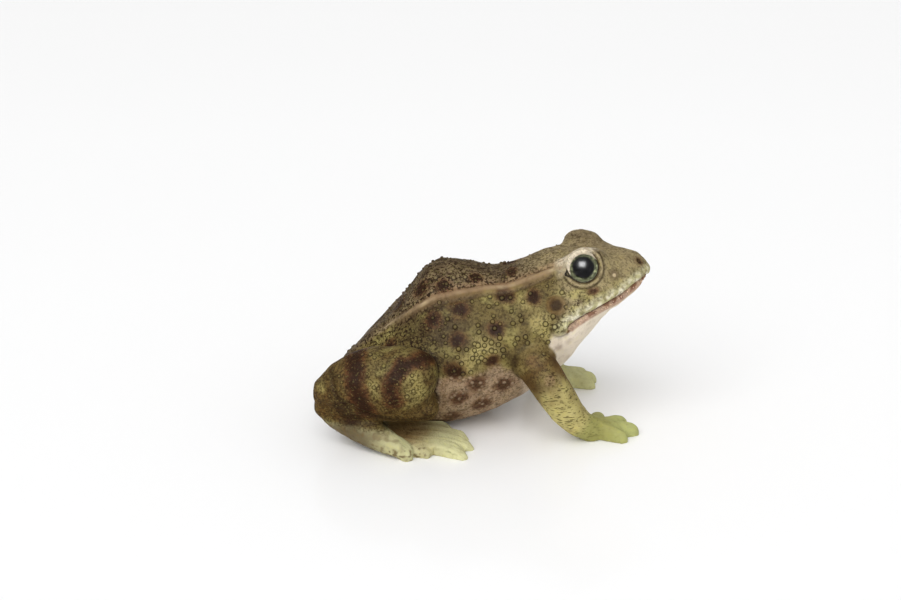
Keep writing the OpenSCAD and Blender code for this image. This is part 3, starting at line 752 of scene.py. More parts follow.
on_left = body_at[:, 1] > 0
eye_r, eye_turn, eye_out = eye_view(body_right)
eye_front = soft(-7.5, -5.5, eye_out)
upper = soft(38, 72, eye_turn) * soft(212, 195, eye_turn)
folded_facing = facing * np.where(on_left[:, None], (1.0, -1.0, 1.0), 1.0)
toward = folded_facing @ np.array(EYE_AXIS)
hood = soft(2.4, -0.6, eye_r - np.where(on_left, LEFT_HOOD, RIGHT_HOOD))
lid = eye_front * upper * hood * soft(-0.15, 0.1, toward - 0.5 * on_left)
brush(colour, 0.9 * lid * (1 - 0.65 * soft(150, 185, eye_turn)), LID)
brush(colour, 0.45 * lid * soft(0.1, 0.4, fine), TAN)
brush(colour, 0.8 * eye_front * (1 - upper) * soft(9.0, 8.0, eye_r), KHAKI * 0.9)
brush(colour, 0.6 * eye_front * (1 - upper) * bump(eye_r - 7.5, 0.5), SAND)
# Painted shade in the groove under the lower lid
brush(colour, 0.7 * eye_front * (1 - upper) * bump(eye_r - 8.5, 0.7), WASH_AND_SHADE)
brush(colour, 0.8 * eye_front * soft(6.9, 6.4, eye_r), SPOT)
under_eye = np.hypot((eye_r - UNDER_EYE_R) / 1.3, (eye_turn - UNDER_EYE_TURN) / 16) + 0.3 * fine
under_eye += 9 * soft(-9, -12, eye_out)
brush(colour, 0.8 * soft(1.5, 0.6, under_eye), RUST)
brush(colour, 0.7 * soft(0.9, 0.3, under_eye), SPOT)
print("the cream hoods take", int((lid > 0.5).sum()), "vertices")

# %% [markdown]
# ## Painting the arms
# Each arm goes from brown at the shoulder through leaf green to lime fingers. Masks follow
# the share of the way along the arm's own line, and a second one picks the hand by its
# height. Painted shade darkens the armpit and the crease behind the shoulder, where the arm
# parts from the flank, and painted light brightens the far hand.

# %% Arms
ARM_PATCHES = [
    ((19.2, -33.4, 36.3), 3.4, RUST), ((28.1, -30.4, 36.0), 3.6, SPOT),
    ((26.8, -37.3, 29.4), 2.6, TAN), ((35.8, -32.4, 6.4), 1.6, RUST)]
ARMPIT_SHADE = (13.6, -28, 34)

right_line, left_line = near_line(body_at, RIGHT_ARM), near_line(body_at, LEFT_ARM)
on_right = body_at[:, 1] < 0
arm_gap, arm_share = (np.where(on_right, right_line[k], left_line[k]) for k in (0, 1))
arm_away = np.where(on_right[:, None], right_line[2], left_line[2])
arm_edge = np.interp(arm_share, np.linspace(0, 1, len(ARM_R)), ARM_R)
on_arm = soft(1.6, 0.1, arm_gap - arm_edge) * soft(0.12, 0.24, arm_share) * (body_at[:, 0] > 10)
hand_height = soft(WRIST_HEIGHT + 4, WRIST_HEIGHT - 3, body_at[:, 2] + wobble)
on_hand = (body_at[:, 0] > HAND_START) * hand_height
on_arm = np.maximum(on_arm, on_hand)
brush(colour, on_arm, ARM)
brush(colour, 0.95 * on_arm * soft(0.46, 0.28, arm_share + 0.06 * wobble), ARM_BROWN)
arm_front = arm_away[:, 0] / np.maximum(arm_gap, 0.1)
brush(colour, 0.5 * on_arm * soft(0.45, 0.95, arm_front) * soft(0.8, 0.6, arm_share), ARM_BROWN)
brush(colour, 0.45 * on_arm * soft(0.1, 0.5, wobble) * soft(0.25, 0.5, arm_share), LEAF)
brush(colour, on_arm * soft(0.66, 0.82, arm_share), HAND)
brush(colour, 0.8 * on_arm * soft(0.86, 0.98, arm_share), FINGER)
# Painted light: the far hand is made lighter, as if it were lit
brush(colour, 0.75 * on_hand * on_left, LIME * 1.05)
for place, reach, pot in ARM_PATCHES:
    brush(colour, 0.6 * on_arm * blot(body_right, place, reach, wobble, 0.3), pot)
# Painted shade in the armpit and in the crease behind the shoulder
brush(colour, 0.7 * blot(body_right, ARMPIT_SHADE, 4.0, wobble, 0.3), WASH_AND_SHADE)
near_shoulder = soft(0.03, 0.12, arm_share) * soft(0.42, 0.3, arm_share)
arm_crease_shade = bump(arm_gap - arm_edge - 0.8, 1.1) * near_shoulder
brush(colour, 0.6 * arm_crease_shade * soft(-0.1, -0.6, arm_front), WASH_AND_SHADE)
print("the arms take", round(100 * on_arm.mean()), "% of the body's vertices")

# %% [markdown]
# ## The wash and painted shade, and how busy each place is
# Darker paint, partly a wash and partly painted shade, goes where the skin lies lower than
# its neighbours; painted shade lies along the line where thigh meets flank; and lighter
# paint, partly dry brush and partly painted highlight, goes on the high places. A second
# attribute says how densely the material should stipple, dash and pebble each place.

# %% Wash and detail
LEG_SHADE_REACH = 6
HOLLOW_SHARE = 0.7

leg_gap = np.minimum(*(gap_to(body_at, leg_skin, LEG_SHADE_REACH) for leg_skin in leg_skins))
brush(colour, 0.5 * belly * bump(leg_gap - 3.2, 2.2), TAN)
# Painted shade along the line where thigh meets flank
brush(colour, 0.85 * soft(2.0, 0.5, leg_gap), WASH_AND_SHADE)
# Darker in the hollows, partly wash and partly painted shade; lighter on the high places, partly
# dry brush and partly painted highlight
body_hollow = HOLLOW_SHARE * hollows(body_skin)
pale = np.maximum(throat, chest)
brush(colour, 0.75 * soft(0.03, 0.22, body_hollow) * (1 - 0.7 * pale), WASH_AND_SHADE)
brush(colour, 0.30 * soft(0.03, 0.16, -body_hollow) * (1 - over_fold), LEAF)

plain = np.clip(pale + 0.8 * soft(0.7, 0.85, arm_share) * on_arm, 0, 1)
rear = soft(-6, -34, x) * (1 - belly)
stipple = np.clip(0.42 + 0.45 * over_fold + 0.6 * rear - 0.1 * belly, 0, 1)
stipple = stipple * (1 - plain) * soft(46, 30, x + 8 * (z < 46))
cheek = soft(22, 28, x) * soft(48, 40, x) * soft(64, 58, z)
stipple = np.maximum(stipple, (0.44 + 0.25 * cheek) * (1 - plain))
stipple *= 1 - np.maximum(fold_strength * soft(2.2, 1.0, np.abs(above_fold)), 0.45 * lid)
stipple *= 1 - 0.4 * over_fold * soft(8, 26, x)
stipple *= 1 - 0.6 * soft(4.0, 2.0, np.abs(above_mouth)) * soft(30, 36, x)
stipple *= 1 - 0.15 * soft(38, 48, x) - 0.7 * soft(2.0, 1.0, tear_gap)
stipple *= 1 - 0.75 * soft(5.0, 3.6, ear_gap)
dashes = on_arm * soft(0.2, 0.4, arm_share) * soft(0.92, 0.72, arm_share)
pebbled = belly * (1 - on_arm)


def keep_paint(skin, colour, detail):
    """Stores paint and detail masks on the mesh as colour attributes."""
    for name, values in (("paint", colour), ("detail", detail)):
        layer = skin.data.color_attributes.new(name, "FLOAT_COLOR", "POINT")
        flat = np.c_[values, np.ones(len(values))].astype(np.float32).ravel()
        layer.data.foreach_set("color", flat)


keep_paint(body_skin, colour, np.c_[stipple, dashes, pebbled])
body_colour = colour
print("painted", len(colour), "vertices of the body")

# %% [markdown]
# ## Painting the hind legs
# The thighs are olive with leaf-green patches, partly painted highlight, and two dark bars
# edged in rust. Towards the heel they darken, with painted shade low on the leg and in its
# creases, and the foot goes from a brown bowl, partly painted shade under the thigh, to lime
# toes. Both legs are painted by one function, in the right leg's terms, because the left one
# is its mirror image set forward.

# %% Foot paint
FOOT_SHADE = (-56, -42, 10)


def paint_foot(colour, at, right, wobble, fine):
    """Paints the foot and its painted shade; its mask thins the later wash and shade there."""
    x, _, z = right.T
    reach, turn, toe_gap = foot_view(right)
    foot = soft(11.5, 8.0, z + 0.8 * wobble) * soft(6, 11, reach)
    heel = foot * soft(-35, -49, x + 2.5 * wobble)
    brush(colour, foot, LIME)
    brush(colour, 0.9 * heel, DARK_BARK)
    brush(colour, 0.7 * blot(right, FOOT_SHADE, 7.0, wobble, 0.3), SPOT)
    mottled = soft(0.05, 0.4, ripple(at, 2.4, 66.0)) * soft(-24, -40, x)
    brush(colour, 0.6 * foot * mottled, ARM_BROWN)
    # Brown web, darker towards the ankle: partly paint, partly painted shade under the thigh
    brown_web_and_shade = foot * soft(35, 19, reach + 2 * wobble) * soft(46, 38, turn)
    brush(colour, 0.8 * brown_web_and_shade, WEB)
    brush(colour, 0.5 * brown_web_and_shade * soft(30, 16, reach + 2 * wobble), ARM_BROWN * 1.6)
    brush(colour, 0.22 * foot * soft(1.0, 2.6, toe_gap) * soft(44, 30, reach), KHAKI)
    brush(colour, 0.5 * foot * soft(2.0, 0.8, z) * soft(0.1, 0.5, fine), ARM_BROWN)
    flecks = soft(0.12, 0.4, ripple(at, 1.5, 67.0)) * soft(6.0, 3.5, z) * soft(-16, -26, x)
    brush(colour, 0.75 * foot * flecks, ARM_BROWN)
    brush(colour, 0.8 * foot * soft(32, 42, reach), LIME * 1.2)
    return foot


print("the foot's toes point", TOE_TURNS, "degrees from straight ahead")

# %% Leg paint
THIGH_PATCHES = [((-27, -46.8, 27), 6.5), ((-42.5, -47, 30), 4.5), ((-28, -45, 34), 4),
                 ((-64, -38, 27), 3)]
BARS = ((BAR_REAR, 4.3), (BAR_FRONT, 3.9))
CALF_SHADE, HEEL_SHADE = (-51.5, -38, 14), (-57, -41, 19)
BODY_SHADE_REACH = 3


def paint_leg(skin):
    at = points_of(skin)
    right = to_right_side(at, LEFT_LEG_FORWARD)
    x, _, z = right.T
    wobble = ripple(at, 5.0, 61.0)
    fine = ripple(at, 1.8, 62.0)
    colour = np.tile(OLIVE, (len(x), 1))
    brush(colour, 0.4 * soft(-0.1, 0.5, ripple(at, 6.0, 63.0)), LEAF)
    brush(colour, 0.5 * soft(0.0, 0.5, ripple(at, 4.0, 64.0)), ARM_BROWN)
    brush(colour, 0.55 * soft(-44, -64, x) * soft(9, 14, z), ARM_BROWN * 0.9)
    # Painted shade: darker low on the leg, under the thigh
    brush(colour, 0.5 * soft(30, 18, z) * soft(9, 14, z), ARM_BROWN)
    # Light olive patches: partly paint, partly painted highlight on the thigh
    for place, reach in THIGH_PATCHES:
        brush(colour, 0.75 * blot(right, place, reach, 1.2 * wobble, 0.2), THIGH_PALE_AND_HIGHLIGHT)
    for line, width in BARS:
        gap = near_line(right, line)[0] + 1.6 * wobble
        brush(colour, 0.85 * soft(width * 1.5, width * 0.7, gap), RUST * 0.8)
        brush(colour, 0.9 * soft(width * 0.95, width * 0.25, gap + 0.6 * fine), SPOT)
    heel_gap = near_line(right, HEEL_CREASE)[0]
    # Painted shade in the crease where the heel folds under
    brush(colour, 0.8 * soft(2.6, 0.6, heel_gap), WASH_AND_SHADE)
    brush(colour, 0.85 * blot(right, CALF_SHADE, 6.0, wobble, 0.3), SPOT)
    brush(colour, 0.75 * blot(right, HEEL_SHADE, 6.0, wobble, 0.3), SPOT)
    foot = paint_foot(colour, at, right, wobble, fine)
    # Painted shade where the thigh lies against the flank
    body_gap = gap_to(at, body_skin, BODY_SHADE_REACH)
    brush(colour, 0.7 * soft(1.6, 0.3, body_gap) * (1 - foot), WASH_AND_SHADE)
    # Darker in the hollows, partly wash and partly painted shade; lighter on the high places,
    # partly dry brush and partly painted highlight
    hollow = hollows(skin)
    brush(colour, 0.7 * soft(0.03, 0.2, hollow) * (1 - 0.6 * foot), WASH_AND_SHADE)
    brush(colour, 0.25 * soft(0.03, 0.14, -hollow) * (1 - foot), LEAF)
    detail = np.c_[0.62 * (1 - foot), 0.35 * (1 - foot), np.zeros(len(x))]
    keep_paint(skin, colour, detail)
    return colour


leg_colours = {leg_skin.name: paint_leg(leg_skin) for leg_skin in leg_skins}
print("painted the hind legs:", {n: len(c) for n, c in leg_colours.items()})

# %% [markdown]
# ## Shared effects as a node group
# Cloudy mottling, a stipple of tiny dark dots and worm lines, slanted dashes and belly
# pebbles break up the airbrushed colour all over the skin. They are built once as a node
# group. A group only gives colours, masks and heights; the shader itself stays in the
# material.

# %% Node helpers
def new_group(name, inputs, outputs):
    tree = bpy.data.node_groups.new(name, "ShaderNodeTree")
    for label, kind in inputs:
        tree.interface.new_socket(label, in_out="INPUT", socket_type=kind)
    for label, kind in outputs:
        tree.interface.new_socket(label, in_out="OUTPUT", socket_type=kind)
    return tree, tree.nodes.new("NodeGroupInput"), tree.nodes.new("NodeGroupOutput")


def add(tree, kind, **settings):
    node = tree.nodes.new(kind)
    for key, value in settings.items():
        setattr(node, key, value)
    return node


def noise_at(tree, vector, scale, detail=2.0, rough=0.5):
    node = add(tree, "ShaderNodeTexNoise")
    node.inputs["Scale"].default_value = scale
    node.inputs["Detail"].default_value = detail
    node.inputs["Roughness"].default_value = rough
    tree.links.new(vector, node.inputs["Vector"])
    return node.outputs["Fac"]


def ramp(tree, value, low, high, out_low=0.0, out_high=1.0):
    node = add(tree, "ShaderNodeMapRange", clamp=True, interpolation_type="SMOOTHSTEP")
    limits = {"From Min": low, "From Max": high, "To Min": out_low, "To Max": out_high}
    for label, number in limits.items():
        node.inputs[label].default_value = number
    tree.links.new(value, node.inputs["Value"])
    return node.outputs["Result"]


def maths(tree, operation, a, b):
    node = add(tree, "ShaderNodeMath", operation=operation)
    for socket, value in zip(node.inputs, (a, b)):
        if isinstance(value, (int, float)):
            socket.default_value = value
        else:
            tree.links.new(value, socket)
    return node.outputs[0]


def mix(tree, factor, a, b, blend="MIX"):
    node = add(tree, "ShaderNodeMix", data_type="RGBA", blend_type=blend)
    for index, value in ((0, factor), (6, a), (7, b)):
        socket = node.inputs[index]
        if isinstance(value, (int, float)):
            socket.default_value = value
        elif isinstance(value, (tuple, np.ndarray)):
            socket.default_value = (*value[:3], 1)
        else:
            tree.links.new(value, socket)
    return node.outputs[2]


print("node helpers ready")

# %% Skin paint group
CLOUD_DARK, CLOUD_LIGHT = (0.55, 0.50, 0.40), (0.62, 0.60, 0.36)
DASH_SLANT = math.radians(-40)
DASH_STRETCH = (0.45, 0.8, 1.6)


def masked(tree, pattern, low, high, strength, mask):
    """A pattern cut to soft shapes, as strong as given, where the mask lets it show."""
    return maths(tree, "MULTIPLY", ramp(tree, pattern, low, high, 0.0, strength), mask)


def skin_paint_group():
    """Breaks the airbrush colour up: clouds, stippled dots, dashes and belly pebbles."""
    masks = ("Stipple", "Dashes", "Pebbles")
    tree, take, give = new_group(
        "skin_paint",
        [("Paint", "NodeSocketColor"), *((label, "NodeSocketFloat") for label in masks)],
        [("Color", "NodeSocketColor"), ("Height", "NodeSocketFloat"),
         ("Gloss", "NodeSocketFloat")])
    stipple, dashes, pebbles = (take.outputs[label] for label in masks)
    place = add(tree, "ShaderNodeTexCoord").outputs["Object"]
    cloudy = noise_at(tree, place, 420, 4.0, 0.6)
    shade = ramp(tree, cloudy, 0.48, 0.72, 0.0, 0.38)
    colour = mix(tree, shade, take.outputs["Paint"], CLOUD_DARK, "MULTIPLY")
    shine = ramp(tree, cloudy, 0.50, 0.28, 0.0, 0.30)
    colour = mix(tree, shine, colour, CLOUD_LIGHT, "OVERLAY")
    blots, dots = noise_at(tree, place, 300, 3.0, 0.55), noise_at(tree, place, 950, 2.0, 0.5)
    worms = maths(tree, "ADD", noise_at(tree, place, 330, 1.0, 0.4), 0.5)
    worms = maths(tree, "PINGPONG", worms, 1.0)
    lights = noise_at(tree, place, 1300, 1.0, 0.4)
    for pattern, low, high, strength, pot in (
            (blots, 0.49, 0.62, 0.65, WASH_AND_SHADE), (dots, 0.52, 0.58, 1.0, WASH_AND_SHADE * 0.8),
            (worms, 0.965, 0.992, 0.7, WASH_AND_SHADE * 0.7), (lights, 0.60, 0.70, 0.25, LEAF)):
        colour = mix(tree, masked(tree, pattern, low, high, strength, stipple), colour, tuple(pot))
    lay = add(tree, "ShaderNodeMapping")
    lay.inputs["Rotation"].default_value = (0.0, DASH_SLANT, 0.0)
    lay.inputs["Scale"].default_value = DASH_STRETCH
    tree.links.new(place, lay.inputs["Vector"])
    dash = masked(tree, noise_at(tree, lay.outputs[0], 1100, 2.0, 0.5), 0.56, 0.67, 0.7, dashes)
    colour = mix(tree, dash, colour, tuple(WASH_AND_SHADE))
    cells = add(tree, "ShaderNodeTexVoronoi")
    cells.inputs["Scale"].default_value = 370
    tree.links.new(place, cells.inputs["Vector"])
    pebble = masked(tree, cells.outputs["Distance"], 0.40, 0.15, 1.0, pebbles)
    patchy = ramp(tree, noise_at(tree, place, 130, 2.0), 0.30, 0.52)
    lit_pebble = maths(tree, "MULTIPLY", maths(tree, "MULTIPLY", pebble, patchy), 0.5)
    colour = mix(tree, lit_pebble, colour, tuple(PEBBLE))
    grain = noise_at(tree, place, 1500, 3.0, 0.6)
    height = maths(tree, "MULTIPLY", grain, 0.5)
    for operation, pattern, share in (("ADD", cloudy, 0.6), ("ADD", pebble, 0.9),
                                      ("SUBTRACT", dash, 0.8)):
        height = maths(tree, operation, height, maths(tree, "MULTIPLY", pattern, share))
    gloss = ramp(tree, cloudy, 0.3, 0.7, 0.36, 0.56)
    for label, value in (("Color", colour), ("Height", height), ("Gloss", gloss)):
        tree.links.new(value, give.inputs[label])
    return tree


skin_paint = skin_paint_group()
print("skin paint group:", len(skin_paint.nodes), "nodes")

# %% [markdown]
# ## The painted skin material
# Hand-painted resin with a thin, dull varnish: the colour comes from the airbrush attribute and
# the group breaks it up, roughness wanders a little, and the same pattern gives the bump. The
# specular level is kept low, so that the big lamp for the eyes doesn't veil the dark spots.

# %% Skin material
SKIN_SPECULAR = 0.018
BUMP_DEPTH = 0.6 * MM


def new_material(name):
    material = bpy.data.materials.new(name)
    material.use_nodes = True
    tree = material.node_tree
    return material, tree, tree.nodes["Principled BSDF"]


def add_bump(tree, shader, height, strength, depth):
    relief = add(tree, "ShaderNodeBump")
    relief.inputs["Strength"].default_value = strength
    relief.inputs["Distance"].default_value = depth
    tree.links.new(height, relief.inputs["Height"])
    tree.links.new(relief.outputs["Normal"], shader.inputs["Normal"])


def painted_skin_material(name):
    material, tree, shader = new_material(name)
    paint = add(tree, "ShaderNodeAttribute", attribute_name="paint")
    detail = add(tree, "ShaderNodeAttribute", attribute_name="detail")
    split = add(tree, "ShaderNodeSeparateColor")
    tree.links.new(detail.outputs["Color"], split.inputs["Color"])
    group = add(tree, "ShaderNodeGroup", node_tree=skin_paint)
    tree.links.new(paint.outputs["Color"], group.inputs["Paint"])
    for label, channel in (("Stipple", "Red"), ("Dashes", "Green"), ("Pebbles", "Blue")):
        tree.links.new(split.outputs[channel], group.inputs[label])
    add_bump(tree, shader, group.outputs["Height"], 1.0, BUMP_DEPTH)
    tree.links.new(group.outputs["Color"], shader.inputs["Base Color"])
    tree.links.new(group.outputs["Gloss"], shader.inputs["Roughness"])
    shader.inputs["Specular IOR Level"].default_value = SKIN_SPECULAR
    return material


painted_skin = painted_skin_material("painted_skin")


def finish_piece(piece, material, slot, *nodes):
    piece.data.materials.clear()
    piece.data.materials.append(material)
    count = len(piece.data.polygons)
    piece.data.polygons.foreach_set("use_smooth", np.ones(count, bool))
    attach(piece, "root")
    if nodes:
        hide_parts(*nodes)
    print(piece.name, "has", count, "faces")


finish_piece(body_skin, painted_skin, "painted_skin",
             "body_shell", "right_foreleg", "left_foreleg")
finish_piece(right_leg_skin, painted_skin, "painted_skin", "right_hind_leg")
finish_piece(left_leg_skin, painted_skin, "painted_skin", "left_hind_leg")

# %% [markdown]
# ## Warts
# The flanks and thighs carry hundreds of small round warts, each a pale dome, partly painted
# highlight, in a dark ring that is partly wash and partly painted shade round its foot. They
# could be bump only, but from the side they stand up from the skin, so each is a little stamped
# mesh: a circle inset a few times, rising in the middle. It has a few dozen faces, because
# there are so many.

# %% Wart stamp
RING_PROFILE = [(1.3, -0.25), (1.05, 0.04), (0.8, 0.2), (0.52, 0.5)]
GRAIN_PROFILE = [(1.15, -0.35), (0.85, 0.45), (0.45, 0.8)]


def top_face(stamp):
    return max(stamp.faces, key=lambda f: (len(f.verts), f.calc_center_median().z))


def wart_stamp(segments, profile):
    """A round stamp of radius 1: inset again and again, with a rise each time."""
    stamp = bmesh.new()
    made = bmesh.ops.create_circle(stamp, cap_ends=True, segments=segments, radius=profile[0][0])
    bmesh.ops.translate(stamp, verts=made["verts"], vec=(0, 0, profile[0][1]))
    for (r0, h0), (r1, h1) in zip(profile[:-1], profile[1:]):
        top = top_face(stamp)
        width = (r0 - r1) * math.cos(math.pi / segments)
        bmesh.ops.inset_region(stamp, faces=[top], thickness=width, depth=0,
                               use_even_offset=True, use_boundary=True)
        bmesh.ops.translate(stamp, verts=top.verts, vec=(0, 0, h1 - h0))
    bmesh.ops.poke(stamp, faces=[top_face(stamp)], offset=0.05)
    mesh = bpy.data.meshes.new("stamp")
    stamp.to_mesh(mesh)
    stamp.free()
    return mesh


ring_wart = wart_stamp(9, RING_PROFILE)
grain_wart = wart_stamp(6, GRAIN_PROFILE)
print("wart faces:", len(ring_wart.polygons), "grain faces:", len(grain_wart.polygons))

# %% [markdown]
# ## Where the warts sit
# The photograph shows which warts stand in the cluster on the flank, so those are listed.
# The rest are scattered by a seeded draw over the faces of the skin, denser where the
# photograph is dense, and dropped where two would touch.

# %% Wart places
FLANK_WARTS = [
    (-17.5, -18.8, 55.9), (5.7, -18.1, 55), (7.8, -16.5, 56.8), (11.2, -16.8, 57.1),
    (2.5, -18.9, 54.2), (2.9, -16, 57.3), (4.3, -21.7, 51), (3.9, -23.1, 49.2),
    (6.9, -23.7, 48.5), (4.7, -24.8, 47), (11.5, -20.9, 52.8), (14.9, -22.5, 51.7),
    (15.5, -23.9, 50.1), (12.1, -24.1, 48.9), (16.2, -19.1, 56.2), (19.2, -17.4, 59.2),
    (0.8, -27.1, 43.3), (3.4, -27.7, 42), (6.2, -27.8, 41.2), (0.6, -28.3, 41), (-2, -28.4, 41),
    (-3.4, -28.1, 41.6), (3.4, -28.7, 39), (5, -28.7, 38.6), (0.4, -29, 38.5),
    (-3.4, -29.1, 39.2), (-4.2, -29.9, 36.2), (-0.6, -29.7, 36.2), (-2.8, -29.5, 37.6),
    (-1.8, -30.1, 34.6), (0.8, -29.7, 35.1), (-6.6, -29.1, 39.6), (-9.8, -29, 39.8),
    (-14.8, -29.9, 37.1), (-10.2, -30, 36.5), (-8.6, -30.5, 34.1), (-8, -30.4, 29.5),
    (-4.8, -30.1, 30.1), (-2, -24.3, 48.1), (-1.6, -25.8, 45.8), (-11.2, -25, 47.7),
    (-14.2, -23.2, 50.4), (13.9, -27.2, 43.6), (17.9, -27.8, 41.9), (12.9, -27.8, 41.4),
    (17.1, -27.1, 44.2), (26.2, -26.6, 41.8), (25.1, -25.9, 49.3), (6.8, -26.8, 43.6),
    (8.3, -28.7, 36.6), (8.1, -28.5, 39.1), (-14.7, -13.7, 62), (-19.1, -10.5, 63.5),
    (-11.8, -11.4, 63.8), (-20.5, -14.6, 59.3), (-7.2, -10.6, 63.7), (-23.6, -8.1, 61.8),
    (31.8, -19.8, 60.6), (29, -26, 48), (25.2, -25.9, 49.2), (28.2, -24.7, 52.1),
    (33.4, -23.1, 55.5)]
THIGH_WARTS = [
    (-31.5, -46.4, 34.2), (-39.3, -43.8, 38.5), (-28.2, -45.7, 35), (-27.7, -47, 28.9),
    (-30.2, -47.3, 26.7), (-24.5, -42.8, 37.4), (-40.4, -39.5, 41.6), (-47.9, -42.2, 38),
    (-48.1, -37.5, 40.8), (-44.8, -38.8, 41.1), (-43.3, -47, 30.4), (-43.1, -40.6, 40.5),
    (-30.6, -32.9, 42.4)]


WART_REACH = 4 * MM


class WartBed:
    """Finds where a wart sits on a skin, and keeps warts apart."""

    def __init__(self, skin, colour):
        self.skin, self.colour = skin, colour
        self.tree = surface_tree(skin)
        self.nearest = KDTree(len(skin.data.vertices))
        for v in skin.data.vertices:
            self.nearest.insert(v.co, v.index)
        self.nearest.balance()
        self.taken = []

    def sit(self, place, radius, apart=1.9):
        at, normal, _, gap = self.tree.find_nearest(Vector(place) * MM)
        if gap > WART_REACH:
            return None
        if any((at - p).length < (radius + r) * MM * apart / 2 for p, r in self.taken):
            return None
        self.taken.append((at, radius))
        return at, normal, radius, self.colour[self.nearest.find(at)[1]]


def scatter(bed, draw, count, density, smallest, largest):
    """Seeded draws over the faces; density(p) says how likely a place keeps its wart."""
    faces = bed.skin.data.polygons
    areas = np.cumsum([f.area for f in faces])
    seats = []
    for _ in range(count):
        face = faces[int(np.searchsorted(areas, draw.random() * areas[-1]))]
        chance, size = draw.random(), draw.uniform(smallest, largest)
        if chance < density(face.center / MM):
            seat = bed.sit(face.center / MM, size)
            if seat:
                seats.append(seat)
    return seats


print("listed warts on each side:", len(FLANK_WARTS), "and", len(THIGH_WARTS))

# %% Warts of the body
FLANK_WART_R, FLANK_APART = (0.9, 1.2), 1.4
FLANK_JITTER = 0.7
SMALL_FLANK_WARTS, SMALL_FLANK_R = 1700, (0.4, 0.9)


def mirror_list(places, forward=0.0):
    return [(p[0] + forward, -p[1], p[2]) for p in places]


draw = random.Random(7)
body_bed = WartBed(body_skin, body_colour)
body_warts = []
for place in FLANK_WARTS:
    body_warts.append(body_bed.sit(place, draw.uniform(*FLANK_WART_R), FLANK_APART))
for place in mirror_list(FLANK_WARTS):
    moved = [c + draw.uniform(-FLANK_JITTER, FLANK_JITTER) for c in place]
    body_warts.append(body_bed.sit(moved, draw.uniform(*FLANK_WART_R), FLANK_APART))
body_warts = [w for w in body_warts if w]


def flank_density(p):
    fold = np.interp(p.x, fold_line[:, 0], fold_line[:, 2])
    edge = np.interp(p.x, BELLY_EDGE_X, BELLY_EDGE_Z)
    on_shoulder = p.x > 10 and p.z < 38
    if not -56 <= p.x <= 30 or not edge + 1 <= p.z <= fold - 3 or on_shoulder:
        return 0.0
    return 0.75 if p.x < 0 else 0.4


body_warts += scatter(body_bed, draw, SMALL_FLANK_WARTS, flank_density, *SMALL_FLANK_R)
print("warts on the body:", len(body_warts))

# %% Stamp the warts
# Dark ring round the foot of every stamp: partly wash, partly painted shade
RING_WASH_AND_SHADE = WASH_AND_SHADE * 0.45
# Pale wart tops: partly paint, partly painted highlight
DOME_PALE_AND_HIGHLIGHT = paint_pot(164, 154, 98)
WART_DETAIL = [0.15, 0, 0]


def stamp_warts(name, stamp, seats, dome=DOME_PALE_AND_HIGHLIGHT, dome_share=0.2, ring_share=0.95):
    """Presses one stamp at every seat, paints dome and ring, and makes it all one piece."""
    sheet = bmesh.new()
    size = len(stamp.vertices)
    for at, normal, radius, _ in seats:
        sheet.from_mesh(stamp)
        sheet.verts.ensure_lookup_table()
        turn = normal.to_track_quat("Z", "Y").to_matrix().to_4x4()
        stand = Matrix.Translation(at) @ turn @ Matrix.Scale(radius * MM, 4)
        bmesh.ops.transform(sheet, verts=sheet.verts[-size:], matrix=stand)
    piece = into_piece(sheet, name)
    out = np.array([math.hypot(v.co.x, v.co.y) for v in stamp.vertices])
    ring = bump(out - 1.0, 0.5)
    middle = soft(0.85, 0.45, out)
    colours = []
    for *_, under in seats:
        colour = np.tile(under, (size, 1))
        # Dome colour in the middle; a ring of wash and painted shade round the foot
        brush(colour, dome_share * middle, dome)
        brush(colour, ring_share * ring, RING_WASH_AND_SHADE)
        colours.append(colour)
    colours = np.vstack(colours)
    keep_paint(piece, colours, np.tile(WART_DETAIL, (len(colours), 1)))
    return piece


body_wart_piece = stamp_warts("body_warts", ring_wart, body_warts)
finish_piece(body_wart_piece, painted_skin, "painted_skin")

# %% Warts on the thighs
THIGH_WART_R, THIGH_APART = (0.7, 1.0), 1.5
SMALL_THIGH_WARTS, SMALL_THIGH_R = 260, (0.45, 0.75)


def thigh_density(p):
    return 0.5 if p.z > 20 and abs(p.y) > 33 else 0.0


thigh_places = (THIGH_WARTS, mirror_list(THIGH_WARTS, LEFT_LEG_FORWARD))
for leg_skin, places in zip(leg_skins, thigh_places):
    bed = WartBed(leg_skin, leg_colours[leg_skin.name])
    seats = [bed.sit(p, draw.uniform(*THIGH_WART_R), THIGH_APART) for p in places]
    seats = [s for s in seats if s]
    seats += scatter(bed, draw, SMALL_THIGH_WARTS, thigh_density, *SMALL_THIGH_R)
    name = leg_skin.name.replace("_skin", "_warts")
    finish_piece(stamp_warts(name, ring_wart, seats), painted_skin, "painted_skin")

# %% [markdown]
# ## Grains along the back
# Against the white background the back shows a row of tiny dark grains. They are the same
# idea as the warts with fewer faces, smaller and darker, and thickest along the spine.

# %% Back grains
GRAIN_DRAWS, GRAIN_R = 2800, (0.32, 0.8)


def back_density(p):
    fold = np.interp(p.x, fold_line[:, 0], fold_line[:, 2])
    if p.x > 33 or p.x < -57 or p.z < fold + 2.2:
        return 0.0
    return 0.9 if abs(p.y) < 5 else 0.4


grain_bed = WartBed(body_skin, body_colour)
grains = scatter(grain_bed, draw, GRAIN_DRAWS, back_density, *GRAIN_R)
grain_piece = stamp_warts("back_grains", grain_wart, grains, DARK_BARK * 0.8, 0.8, 0.5)
finish_piece(grain_piece, painted_skin, "painted_skin")

# %% [markdown]
# ## Beads on the lip
# Small pale beads stand along the edge of the lower lip, some of them chipped to the brown
# beneath; their pale tops are partly painted highlight. They are the same stamp as the grains,
# set along the line of the mouth.

